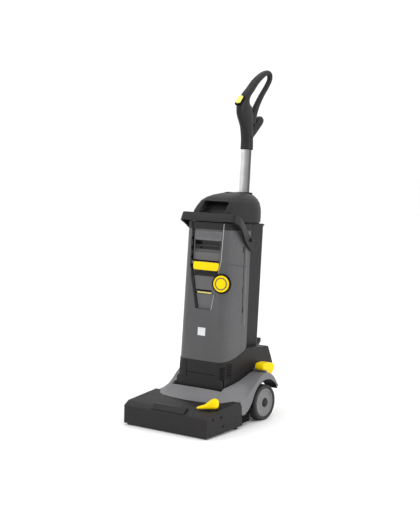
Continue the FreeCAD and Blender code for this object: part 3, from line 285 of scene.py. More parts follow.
@dataclass(frozen=True)
class Metal:
    """Drawn, turned or plated metal with fine lines; a shade gain below 1 darkens its +X side with painted
    shade.
    """

    name: str
    colour: Colour
    roughness: float = 0.3
    stretch: Colour = (1.0, 1.0, 0.02)
    lines: float = 0.00003
    painted_shade_gain: float = 1.0

    def make(self) -> bpy.types.Material:
        """Build the material."""
        graph = Graph(self.name)
        drawn = graph.noise(1500.0, 3.0, self.stretch)
        blotch = graph.noise(30.0, 4.0)
        toned = graph.mix(blotch.ramp(0.3, 0.7), shade(self.colour, 0.86), shade(self.colour, 1.08))
        # Painted shade: the colour darkens towards the +X side, standing in for the shade on the tube's
        # right.
        if self.painted_shade_gain < 1.0:
            toned = graph.mix(graph.axis("X").ramp(0.001, 0.0165), toned, shade(self.colour, self.painted_shade_gain))
        graph.feed(
            Base_Color=toned,
            Metallic=1.0,
            Roughness=self.roughness + (drawn - 0.5) * 0.3 + (blotch - 0.5) * 0.12,
        )
        graph.bump(drawn, self.lines)
        return graph.material


@dataclass(frozen=True)
class Bristle:
    """Nylon filament, paler towards the tips."""
    # Nylon filament with lighter and darker strands.

    name: str
    colour: Colour

    def make(self) -> bpy.types.Material:
        """Build the material."""
        graph = Graph(self.name)
        strands = graph.noise(1800.0, 2.0, (1.0, 1.0, 0.2))
        graph.feed(
            Base_Color=graph.mix(strands.ramp(0.3, 0.7), shade(self.colour, 0.6), shade(self.colour, 1.4)),
            Roughness=0.5 + (strands - 0.5) * 0.3,
        )
        graph.bump(strands, 0.0003)
        return graph.material


@dataclass(frozen=True)
class Paper:
    """Printed film label with faint horizontal ink bars, no lettering."""

    name: str
    colour: Colour
    ink: Colour

    def make(self) -> bpy.types.Material:
        """Build the material."""
        graph = Graph(self.name)
        weave = graph.noise(220.0, 4.0)
        height = graph.axis("Z")
        bars = (height * 900.0).sine().ramp(0.35, 0.55)
        graph.feed(
            Base_Color=graph.mix(bars * 0.35 + weave.ramp(0.45, 0.7) * 0.12,
                                 shade(self.colour, 1.0), shade(self.ink, 1.0)),
            Roughness=0.38 + (weave - 0.5) * 0.2,
            Coat_Weight=0.3,
        )
        graph.bump(weave, 0.00003)
        return graph.material


class Finish(Enum):
    """The finishes this machine uses."""

    CHARCOAL = Moulded("charcoal_plastic", (0.0105, 0.0092, 0.0092), 0.5)
    # Also the black of the painted shade strips on the tank and the lower housing.
    BLACK = Moulded("black_plastic", (0.0035, 0.0033, 0.0034), 0.62, sheen=1.16)
    HANDLE = Moulded("handle_plastic", (0.010, 0.009, 0.009), 0.42)
    SILVER = Moulded("silver_grey_plastic", (0.15, 0.15, 0.156), 0.42, edge_gain=1.3)
    TANK = Moulded("tank_grey_plastic", (0.068, 0.068, 0.071), 0.36, edge_gain=1.4, coat=0.15)
    PANEL = Moulded("panel_grey_plastic", (0.105, 0.105, 0.109), 0.42, edge_gain=1.3)
    YELLOW = Moulded("yellow_plastic", (0.86, 0.61, 0.0), 0.4, edge_gain=1.05, sheen=1.24)
    LEMON = Moulded("pale_yellow_plastic", (0.85, 0.80, 0.16), 0.36, edge_gain=1.1)
    STRIP = Moulded("strip_plastic", (0.80, 0.70, 0.22), 0.45, edge_gain=1.05, sheen=1.3)
    IVORY = Moulded("ivory_plastic", (0.62, 0.60, 0.54), 0.42, edge_gain=1.15)
    HUB = Moulded("wheel_grey_plastic", (0.17, 0.17, 0.17), 0.5, edge_gain=1.3)
    TYRE = Rubber("tyre_rubber", (0.022, 0.021, 0.021))
    LIP = Rubber("lip_rubber", (0.03, 0.03, 0.031), 0.6, 0.2)
    # The tube's painted shade darkens its +X side to 0.16 of its colour.
    TUBE = Metal("brushed_aluminium", (0.66, 0.655, 0.655), 0.5, painted_shade_gain=0.16)
    STEEL = Metal("zinc_plated_steel", (0.58, 0.57, 0.53), 0.32, (0.3, 0.3, 0.3))
    NYLON = Bristle("nylon_bristle", (0.10, 0.105, 0.12))
    BAND = Moulded("band_plastic", (0.105, 0.105, 0.109), 0.36)
    # Painted shade in the tank's finger recess and in the gap under the latch; the own dark colour of the
    # side joints and the grip screws.
    PAINTED_SHADE_AND_DARK = Moulded("painted_shade_and_dark_plastic", (0.02, 0.02, 0.021), 0.6, sheen=1.2)
    # A painted highlight: the pale colour of the lit right border of the front panel's recess.
    PAINTED_HIGHLIGHT = Moulded("painted_highlight_plastic", (0.34, 0.34, 0.345), 0.3)
    LABEL = Paper("label_film", (0.72, 0.73, 0.74), (0.36, 0.38, 0.42))


class Paintbox:
    """Makes each finish once and hands it out."""

    def __init__(self) -> None:
        """Start empty."""
        self.made: dict[Finish, bpy.types.Material] = {}

    def get(self, finish: Finish) -> bpy.types.Material:
        """The finish's material, made when first asked for."""
        if finish not in self.made:
            self.made[finish] = finish.value.make()
        return self.made[finish]


PAINT = Paintbox()


# ------------------------------------------------------------------ mesh work
def leaned(across: float, back: float, up: float) -> Vector:
    """Place a point of the upright's own frame, given in millimetres, in the row frame."""
    v, w = back * MM, up * MM
    return Vector((across * MM,
                   AXLE.y + v * math.cos(LEAN) + w * math.sin(LEAN),
                   AXLE.z - v * math.sin(LEAN) + w * math.cos(LEAN)))


def smooth_step(value: float) -> float:
    """0 below 0, 1 above 1 and smooth between."""
    kept = min(1.0, max(0.0, value))
    return kept * kept * (3 - 2 * kept)


def height_at(line: Sequence[Point], where: float) -> float:
    """Height of a line at one place, eased at its corners and level beyond its ends.

    Args:
        line: the line's points, in rising order of place.
        where: the place.

    Returns:
        The height there.
    """
    if where <= line[0][0]:
        return line[0][1]
    for (a, low), (b, high) in zip(line, line[1:]):
        if where <= b:
            part = (where - a) / (b - a)
            return low + (high - low) * (smooth_step(part) + part) / 2
    return line[-1][1]


def smooth_outline(points: Sequence[Point], steps: int = 4, closed: bool = True) -> list[Point]:
    """Round a polygon with a centripetal-free Catmull-Rom curve.

    Args:
        points: corners in order.
        steps: points made for each side.
        closed: whether the last point joins the first.

    Returns:
        The denser outline.
    """
    count = len(points)
    spans = count if closed else count - 1
    made: list[Point] = []
    for i in range(spans):
        a, b, c, d = (points[(i + k - 1) % count] if closed else points[min(max(i + k - 1, 0), count - 1)]
                      for k in range(4))
        for step in range(steps):
            t = step / steps
            made.append(tuple(
                0.5 * (2 * b[j] + (c[j] - a[j]) * t + (2 * a[j] - 5 * b[j] + 4 * c[j] - d[j]) * t * t
                       + (3 * b[j] - a[j] - 3 * c[j] + d[j]) * t ** 3) for j in range(len(b))))
    if not closed:
        made.append(tuple(points[-1]))
    return made


def loft(rings: Sequence[Sequence[Vector]], closed: bool = False, capped: bool = True) -> bmesh.types.BMesh:
    """Skin a row of rings that have the same number of points.

    Args:
        rings: rings of points in the row frame.
        closed: whether the last ring joins the first.
        capped: whether the open ends are filled.

    Returns:
        The mesh.
    """
    mesh = bmesh.new()
    rows = [[mesh.verts.new(point) for point in ring] for ring in rings]
    pairs = list(zip(rows, rows[1:])) + ([(rows[-1], rows[0])] if closed else [])
    for first, second in pairs:
        size = len(first)
        for i in range(size):
            j = (i + 1) % size
            mesh.faces.new((first[i], first[j], second[j], second[i]))
    if capped and not closed:
        mesh.faces.new(list(reversed(rows[0])))
        mesh.faces.new(rows[-1])
    bmesh.ops.recalc_face_normals(mesh, faces=mesh.faces)
    return mesh


def turned(section: Sequence[Point], place: Callable[[float, float, float], Vector],
           steps: int = 64, closed: bool = True) -> bmesh.types.BMesh:
    """Turn a section of (radius, along) points about its axis.

    Args:
        section: radius and position along the axis, in millimetres.
        place: puts (side, side, along) in the row frame.
        steps: points round the axis.
        closed: whether the section is a closed loop.

    Returns:
        The mesh.
    """
    rings = []
    for i in range(steps):
        angle = 2 * math.pi * i / steps
        rings.append([place(r * math.cos(angle), r * math.sin(angle), along) for r, along in section])
    mesh = bmesh.new()
    rows = [[mesh.verts.new(point) for point in ring] for ring in rings]
    size = len(section)
    for first, second in zip(rows, rows[1:] + rows[:1]):
        for i in range(size if closed else size - 1):
            j = (i + 1) % size
            mesh.faces.new((first[i], first[j], second[j], second[i]))
    bmesh.ops.remove_doubles(mesh, verts=mesh.verts, dist=1e-6)
    bmesh.ops.recalc_face_normals(mesh, faces=mesh.faces)
    return mesh


def slab(outline: Sequence[Point], low: float, high: float, bevel: float,
         place: Callable[[float, float, float], Vector], steps: int = 3) -> bmesh.types.BMesh:
    """A plate of any outline with rounded edges.

    Args:
        outline: corners of the plate's middle, in millimetres.
        low: one face's position across the plate.
        high: the other face's position.
        bevel: radius of the rounded edges.
        place: puts (first, second, across) in the row frame.
        steps: points round each rounded edge.

    Returns:
        The mesh.
    """
    flat = [Vector((a, b)) for a, b in outline]
    area = sum(p.x * q.y - q.x * p.y for p, q in zip(flat, flat[1:] + flat[:1]))
    if area < 0:
        flat.reverse()
    normals = []
    for before, here, after in zip(flat[-1:] + flat[:-1], flat, flat[1:] + flat[:1]):
        first, second = (here - before).normalized(), (after - here).normalized()
        middle = (first + second)
        middle = middle.normalized() if middle.length > 1e-6 else first
        reach = 1.0 / max(0.5, math.sqrt(max(0.0, (1 + first.dot(second)) / 2)))
        normals.append(Vector((-middle.y, middle.x)) * reach)
    sides = []
    for step in range(steps + 1):
        angle = math.pi / 2 * step / steps
        sides.append((bevel * (1 - math.sin(angle)), low + bevel * (1 - math.cos(angle))))
    sides += [(inset, high - (across - low)) for inset, across in reversed(sides)]
    rings = [[place(*(p + n * inset), across) for p, n in zip(flat, normals)] for inset, across in sides]
    return loft(rings)


def add_piece(name: str, mesh: bmesh.types.BMesh, body: str, finish: Finish,
              stands_for: Iterable[str] = (), subdivide: int = 0) -> bpy.types.Object:
    """Turn a mesh into a named piece that moves with its body.

    Args:
        name: the piece's name.
        mesh: its mesh in the row frame; it is freed.
        body: the CAD body it rides on.
        finish: its finish.
        stands_for: CAD nodes that it replaces.
        subdivide: levels of a subdivision surface.

    Returns:
        The new object.
    """
    data = bpy.data.meshes.new(name)
    mesh.to_mesh(data)
    mesh.free()
    data.materials.append(PAINT.get(finish))
    made = bpy.data.objects.new(name, data)
    bpy.context.scene.collection.objects.link(made)
    data.polygons.foreach_set("use_smooth", [True] * len(data.polygons))
    if subdivide:
        surface = made.modifiers.new("surface", "SUBSURF")
        surface.levels = surface.render_levels = subdivide
    else:
        data.set_sharp_from_angle(angle=math.radians(34))
    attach(made, body)
    if stands_for:
        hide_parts(*stands_for)
    LOG.info("%s: %d faces on %s", name, len(data.polygons), body)
    return made


def dress(node: str, finish: Finish, edge: float = 0.8, angle: float = 28.0) -> None:
    """Give a carried-over CAD node its finish and soften its edges.

    Args:
        node: the CAD node.
        finish: its finish.
        edge: width of the softened edges in millimetres, 0 for none.
        angle: edges sharper than this many degrees are softened.
    """
    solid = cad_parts[node]
    solid.data.materials.clear()
    solid.data.materials.append(PAINT.get(finish))
    if edge:
        custom = solid.data.attributes.get("custom_normal")
        if custom is not None:
            solid.data.attributes.remove(custom)
        solid.data.polygons.foreach_set("use_smooth", [True] * len(solid.data.polygons))
        weld = solid.modifiers.new("weld", "WELD")
        weld.merge_threshold = 0.00002
        flat = solid.modifiers.new("flat", "DECIMATE")
        flat.decimate_type = "DISSOLVE"
        flat.angle_limit = math.radians(0.6)
        round_off = solid.modifiers.new("round_off", "BEVEL")
        round_off.width = edge * MM
        round_off.segments = 2
        round_off.limit_method = "ANGLE"
        round_off.angle_limit = math.radians(angle)
        round_off.harden_normals = True
        round_off.use_clamp_overlap = True
    LOG.info("%s dressed in %s", node, finish.value.name)


# ------------------------------------------------------------------ studio
@dataclass
class Studio:
    """Pale floor, soft lights and the camera."""

    camera_at: Vector = field(default_factory=lambda: Vector((2.5239, -3.3613, 1.0327)))
    turn: float = math.radians(37.34)
    tilt: float = math.radians(6.76)
    lens: float = 92.13
    floor_half: float = 12.0
    room_light: float = 1.1
    lamps: tuple[tuple[str, Colour, Colour, float, float], ...] = (
        ("left_lamp", (-2.2, -2.6, 2.6), (0.0, 0.0, 0.5), 1.6, 22.0),
        ("right_lamp", (3.4, 0.2, 1.9), (0.0, 0.0, 0.5), 1.2, 34.0),
        ("top_lamp", (0.2, 0.6, 3.2), (0.0, 0.0, 0.3), 2.0, 16.0),
    )

    def build(self) -> None:
        """Set up the floor, the lights and the camera."""
        self._floor()
        self._lights()
        self._camera()

    def _floor(self) -> None:
        """A wide flat floor in pale paper."""
        graph = Graph("studio_paper")
        tone = graph.noise(3.0, 3.0).ramp(0.3, 0.7)
        graph.feed(
            Base_Color=graph.mix(tone, (0.90, 0.90, 0.90, 1.0), (0.93, 0.93, 0.93, 1.0)),
            Roughness=0.85 + (tone - 0.5) * 0.06,
        )
        graph.bump(graph.noise(400.0, 3.0), 0.0001)
        mesh = bmesh.new()
        size = self.floor_half
        mesh.faces.new([mesh.verts.new((x, y, 0.0)) for x, y in
                        ((-size, -size), (size, -size), (size, size), (-size, size))])
        data = bpy.data.meshes.new("floor")
        mesh.to_mesh(data)
        mesh.free()
        data.materials.append(graph.material)
        floor = bpy.data.objects.new("floor", data)
        bpy.context.scene.collection.objects.link(floor)

    def _lights(self) -> None:
        """A bright room and three large soft lamps."""
        world = bpy.data.worlds.new("studio")
        bpy.context.scene.world = world
        world.use_nodes = True
        world.node_tree.nodes["Background"].inputs["Color"].default_value = (1.0, 1.0, 1.0, 1.0)
        world.node_tree.nodes["Background"].inputs["Strength"].default_value = self.room_light
        for name, at, aim, size, power in self.lamps:
            data = bpy.data.lights.new(name, "AREA")
            data.shape = "SQUARE"
            data.size = size
            data.energy = power
            lamp = bpy.data.objects.new(name, data)
            lamp.location = at
            lamp.rotation_euler = (Vector(aim) - Vector(at)).to_track_quat("-Z", "Y").to_euler()
            bpy.context.scene.collection.objects.link(lamp)

    def _camera(self) -> None:
        """The camera, level and without shift."""
        data = bpy.data.cameras.new("camera")
        data.sensor_fit = "AUTO"
        data.sensor_width = 36.0
        data.lens = self.lens
        data.clip_end = 60.0
        camera = bpy.data.objects.new("camera", data)
        right = Vector((math.cos(self.turn), math.sin(self.turn), 0.0))
        back = Vector((math.sin(self.turn) * math.cos(self.tilt),
                       -math.cos(self.turn) * math.cos(self.tilt), math.sin(self.tilt)))
        up = back.cross(right)
        place = Matrix((right, up, back)).transposed().to_4x4()
        place.translation = self.camera_at
        camera.matrix_world = place
        bpy.context.scene.collection.objects.link(camera)
        bpy.context.scene.camera = camera
        bpy.context.scene.view_settings.view_transform = "Standard"


# ------------------------------------------------------------------ upper pieces
def oval(centre: Vector, first: Vector, second: Vector, power: float = 2.4, steps: int = 28) -> list[Vector]:
    """Ring of points round a centre, between an ellipse and a rounded rectangle.

    Args:
        centre: middle of the ring.
        first: half axis, with its length.
        second: the other half axis, with its length.
        power: 2 for an ellipse, more for a squarer ring.
        steps: points in the ring.

    Returns:
        The ring's points.
    """
    points = []
    for i in range(steps):
        angle = 2 * math.pi * i / steps
        c, s = math.cos(angle), math.sin(angle)
        points.append(centre + first * (math.copysign(abs(c) ** (2 / power), c))
                      + second * (math.copysign(abs(s) ** (2 / power), s)))
    return points


def sweep(stations: Sequence[tuple[float, ...]], power: float = 2.4, steps: int = 5) -> bmesh.types.BMesh:
    """Sweep an oval along a line in the mirror plane of the upright.

    Args:
        stations: (back, up, half width in the plane, half width across) in millimetres.
        power: squareness of the oval.
        steps: rings made between two stations.

    Returns:
        The mesh.
    """
    line = smooth_outline(stations, steps, closed=False)
    rings = []
    for i, (back, up, deep, wide) in enumerate(line):
        ahead, behind = line[min(i + 1, len(line) - 1)], line[max(i - 1, 0)]
        along = Vector((ahead[0] - behind[0], ahead[1] - behind[1])).normalized()
        centre = leaned(0.0, back, up)
        normal = leaned(0.0, back + along.y, up - along.x) - centre
        rings.append(oval(centre, normal * deep, Vector((wide * MM, 0.0, 0.0)), power))
    return loft(rings)


def join(meshes: Iterable[bmesh.types.BMesh]) -> bmesh.types.BMesh:
    """Put several meshes in one; the given ones are freed."""
    whole = bmesh.new()
    for part in meshes:
        data = bpy.data.meshes.new("joined")
        part.to_mesh(data)
        part.free()
        whole.from_mesh(data)
        bpy.data.meshes.remove(data)
    return whole


def melt(piece: bpy.types.Object, voxel: float, rounds: int) -> None:
    """Blend a piece's overlapping shells into one smooth skin.

    Args:
        piece: the piece, already on its body.
        voxel: size of the blending grid in millimetres.
        rounds: smoothing rounds.
    """
    blend = piece.modifiers.new("blend", "REMESH")
    blend.mode = "VOXEL"
    blend.voxel_size = voxel * MM
    blend.use_smooth_shade = True
    ease = piece.modifiers.new("ease", "SMOOTH")
    ease.factor = 0.5
    ease.iterations = rounds


@dataclass
class SteeringHandle:
    """The grip with its loop, hook and switch."""

    body_line: tuple[tuple[float, ...], ...] = (
        (45, 818, 20, 20), (45, 824, 20, 20), (44, 850, 19.5, 19.5), (40, 872, 20, 19), (37, 898, 27, 18),
        (30, 922, 34, 17), (20, 945, 37, 16.5), (15, 961, 31, 16.5), (17, 979, 20, 16), (27, 997, 14, 15),
        (46, 1016, 12.5, 14.5), (71, 1042, 11.5, 14), (100, 1064, 10.5, 12.5), (126, 1078, 9, 11),
        (143, 1081.5, 8, 10), (154, 1076, 8, 9.5), (156.5, 1066, 8, 9.2))
    rear_line: tuple[tuple[float, ...], ...] = (
        (150, 1079, 7, 8.5), (156, 1068, 8, 9.2), (154, 1056, 8, 9), (139, 1034, 8, 9), (114, 1004, 8.5, 9.2),
        (94, 976, 9.5, 10), (80, 952, 11, 11), (70, 930, 13, 12.5), (60, 905, 14, 14))
    hook_line: tuple[tuple[float, ...], ...] = (
        (40, 850, 14, 15), (57, 868, 15, 15), (80, 890, 15, 15), (99, 910, 15.5, 15.5), (110, 921, 14, 14.5),
        (116, 927, 9.5, 10), (118, 929, 3, 3))

    def build(self) -> None:
        """Make the grip, its rocker switch and the rings round the sleeve."""
        grip = join((sweep(self.body_line), sweep(self.rear_line), sweep(self.hook_line)))
        piece = add_piece("grip", grip, "handle", Finish.HANDLE,
                          ("grip_shell_right", "grip_shell_left"))
        melt(piece, 1.6, 4)
        self._switch()
        self._details()

    def _switch(self) -> None:
        """The pale rocker and its dark frame on the nose of the grip."""
        def on_nose(along: float, across: float, out: float) -> Vector:
            """Place a point of the rocker: along the nose, across it and out of it."""
            slope = math.radians(52)
            return leaned(across, -9 + along * math.cos(slope) - out * math.sin(slope),
                          978 + along * math.sin(slope) + out * math.cos(slope))

        frame_line = smooth_outline([(-19, -9), (-19, 9), (-12, 12.5), (13, 12.5), (19, 8), (19, -8),
                                     (13, -12.5), (-12, -12.5)], 3)
        add_piece("switch_frame", slab(frame_line, -8, 1.5, 1.2, on_nose), "handle", Finish.BLACK)
        rocker_line = smooth_outline([(-14, -8), (-14, 8), (0, 9), (14, 8), (14, -8), (0, -9)], 4)
        add_piece("switch_rocker_cap", slab(rocker_line, -4, 5.2, 2.2, on_nose), "switch", Finish.LEMON,
                  ("switch_rocker",))

    def _details(self) -> None:
        """The two moulded rings round the sleeve."""
        for name, low, radius in (("sleeve_foot_ring", 818.5, 20.6), ("sleeve_top_ring", 858.0, 20.2)):
            def on_sleeve(a: float, b: float, along: float, foot: float = low) -> Vector:
                """Place a point round the sleeve."""
                return leaned(a, 45 + b, foot + along)

            section = [(radius - 2.5, 0.0), (radius - 0.4, 0.0), (radius, 0.6), (radius, 2.0),
                       (radius - 0.4, 2.6), (radius - 2.5, 2.6)]
            add_piece(name, turned(section, on_sleeve, 56), "handle", Finish.BLACK)


@dataclass
class Dome:
    """The rounded head cover of the upright with its finger recess."""

    sections: tuple[tuple[float, ...], ...] = (
        (580, 83.5, 135.5, 89.5, 8.0), (600, 84, 136, 90, 8.0), (612, 83.8, 133.5, 89.8, 7.0),
        (626, 82.5, 124, 89, 6.0), (644, 77.5, 111, 85, 5.0), (656, 68, 93, 80, 4.2), (664, 57, 70, 75, 3.8),
        (670, 44, 40, 70, 3.2), (674, 30, 8, 66, 2.6), (675.5, 22, -14, 63, 2.2))
    recess: tuple[float, ...] = (-46.0, 56.0, 594.0, 643.0, 34.0)
    middle: float = -20.0

    def _ring(self, up: float, half: float, ahead: float, behind: float, square: float) -> list[Vector]:
        """One level ring, square in front and round behind, pressed in at the recess."""
        points = []
        count = 176
        left, right, low, high, deep = self.recess
        for i in range(count):
            angle = 2 * math.pi * i / count
            c, s = math.cos(angle), math.sin(angle)
            power = square if c < 0 else 2.2
            reach = (ahead + self.middle) if c < 0 else (behind - self.middle)
            across = half * math.copysign(abs(s) ** (2 / power), s)
            back = self.middle + reach * math.copysign(abs(c) ** (2 / power), c)
            inside = (smooth_step((across - left) / 7) * smooth_step((right - across) / 16)
                      * smooth_step((up - low) / 6) * smooth_step((high - up) / 6))
            if c < 0:
                back += deep * inside
            points.append(leaned(across, back, up))
        return points

    def build(self) -> None:
        """Make the cover and the collar round the tube."""
        rings = []
        levels = smooth_outline(self.sections, 1, closed=False)
        for lower, upper in zip(levels, levels[1:]):
            steps = max(1, round((upper[0] - lower[0]) / 2.2))
            for step in range(steps):
                part = step / steps
                rings.append(tuple(a + (b - a) * part for a, b in zip(lower, upper)))
        rings.append(levels[-1])
        mesh = loft([self._ring(*ring) for ring in rings])
        add_piece("dome_cover", mesh, "upright", Finish.CHARCOAL, ("dome",))

        def on_tube(a: float, b: float, along: float) -> Vector:
            """Place a point round the tube, stretched fore and aft."""
            return leaned(a * 1.05, 44 + b * 1.0, 672.5 + along)

        section = [(17.5, -6.0), (27.0, -6.0), (27.0, 1.5), (25.8, 3.4), (22.0, 4.4), (18.4, 4.6),
                   (17.5, 3.8)]
        add_piece("tube_collar", turned(section, on_tube, 64), "upright", Finish.BLACK)


@dataclass
class CarryingHandle:
    """The wide band round the front of the dome, screwed to the tank's sides."""

    thick: float = 5.6
    stations: tuple[tuple[float, ...], ...] = (
        (97, 7, 516, 97, 5, 498, -1.0, 0.0), (97, 2, 523, 97, -2, 490, -1.0, 0.0),
        (97, -24, 524.5, 97.3, -32, 488, -1.0, 0.0), (100, -56, 545, 100.8, -70, 516, -1.0, 0.0),
        (107, -91, 576, 108.5, -98, 545, -1.0, 0.1), (112.5, -118, 593.5, 114.6, -124, 566, -0.97, 0.25),
        (112, -134, 600, 114.6, -142, 574, -0.8, 0.6), (103, -144.5, 604.5, 105.6, -151.5, 578, -0.5, 0.86),
        (86, -147, 605, 88, -153, 579, -0.1, 1.0), (44, -147, 605, 45, -153, 577, 0.0, 1.0),
        (38, -147, 605, 39, -153, 577, 0.0, 1.0), (0, -147, 605, 0, -153, 577, 0.0, 1.0))

    def _section(self, station: Sequence[float]) -> list[Vector]:
        """Rounded section of the band at one station."""
        upper = Vector(station[0:3])
        lower = Vector(station[3:6])
        inward = Vector((station[6], station[7], 0.0)).normalized() * self.thick
        corners = (upper, lower, lower + inward, upper + inward)
        ring = []
        for k, corner in enumerate(corners):
            before, after = corners[k - 1], corners[(k + 1) % 4]
            first = (before - corner).normalized() * 2.2
            second = (after - corner).normalized() * 2.2
            for t in (0.0, 0.25, 0.5, 0.75, 1.0):
                ring.append(corner + first * (1 - t) ** 2 + second * t ** 2)
        return [leaned(*point) for point in ring]

    def build(self) -> None:
        """Make the band."""
        line = list(self.stations)
        whole = line + [(-a, b, c, -d, e, f, -g, h) for a, b, c, d, e, f, g, h in reversed(line[:-1])]
        rings = [self._section(station) for station in smooth_outline(whole, 5, closed=False)]
        add_piece("carrying_band", loft(rings), "tank", Finish.HANDLE, ("carrying_handle",))


@dataclass
class Skin:
    """The outside of some CAD nodes, for laying thin trim on."""

    nodes: tuple[str, ...]
    trees: list[BVHTree] = field(init=False, default_factory=list)

    def __post_init__(self) -> None:
        """Build the search trees in the row frame."""
        for node in self.nodes:
            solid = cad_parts[node]
            turn = solid.matrix_world
            points = [turn @ corner.co for corner in solid.data.vertices]
            faces = [tuple(face.vertices) for face in solid.data.polygons]
            self.trees.append(BVHTree.FromPolygons(points, faces))

    def touch(self, point: Vector, toward: Vector) -> Vector:
        """Nearest outside point met when coming from outside.

        Args:
            point: rough place on the surface.
            toward: direction into the surface.

        Returns:
            The place on the surface, or the given point where nothing is met.
        """
        start = point - toward * 0.04
        met = [tree.ray_cast(start, toward, 0.09) for tree in self.trees]
        met = [hit for hit in met if hit[0] is not None]
        return min(met, key=lambda hit: hit[3])[0] if met else point

    def ribbon(self, path: Sequence[tuple[float, float, float]], width: float, toward: Vector,
               proud: float = 0.3, steps: int = 6) -> bmesh.types.BMesh:
        """A thin strip that follows the surface.

        Args:
            path: (across, back, up) points in the upright's frame, in millimetres.
            width: the strip's width in millimetres.
            toward: direction into the surface.
            proud: how far it stands off the surface, in millimetres.
            steps: points made between two path points.

        Returns:
            The mesh.
        """
        line = []
        for here, after in zip(path, path[1:]):
            line += [tuple(a + (b - a) * k / steps for a, b in zip(here, after)) for k in range(steps)]
        line.append(tuple(path[-1]))
        places = [leaned(*point) for point in line]
        rings = []
        for i, place in enumerate(places):
            along = (places[min(i + 1, len(places) - 1)] - places[max(i - 1, 0)]).normalized()
            side = along.cross(toward).normalized() * width * MM / 2
            feet = [self.touch(place + side * k, toward) for k in (-1.0, -0.5, 0.0, 0.5, 1.0)]
            tops = [foot - toward * proud * MM for foot in feet]
            roots = [foot + toward * 0.4 * MM for foot in reversed(feet)]
            rings.append(tops + roots)
        return loft(rings)


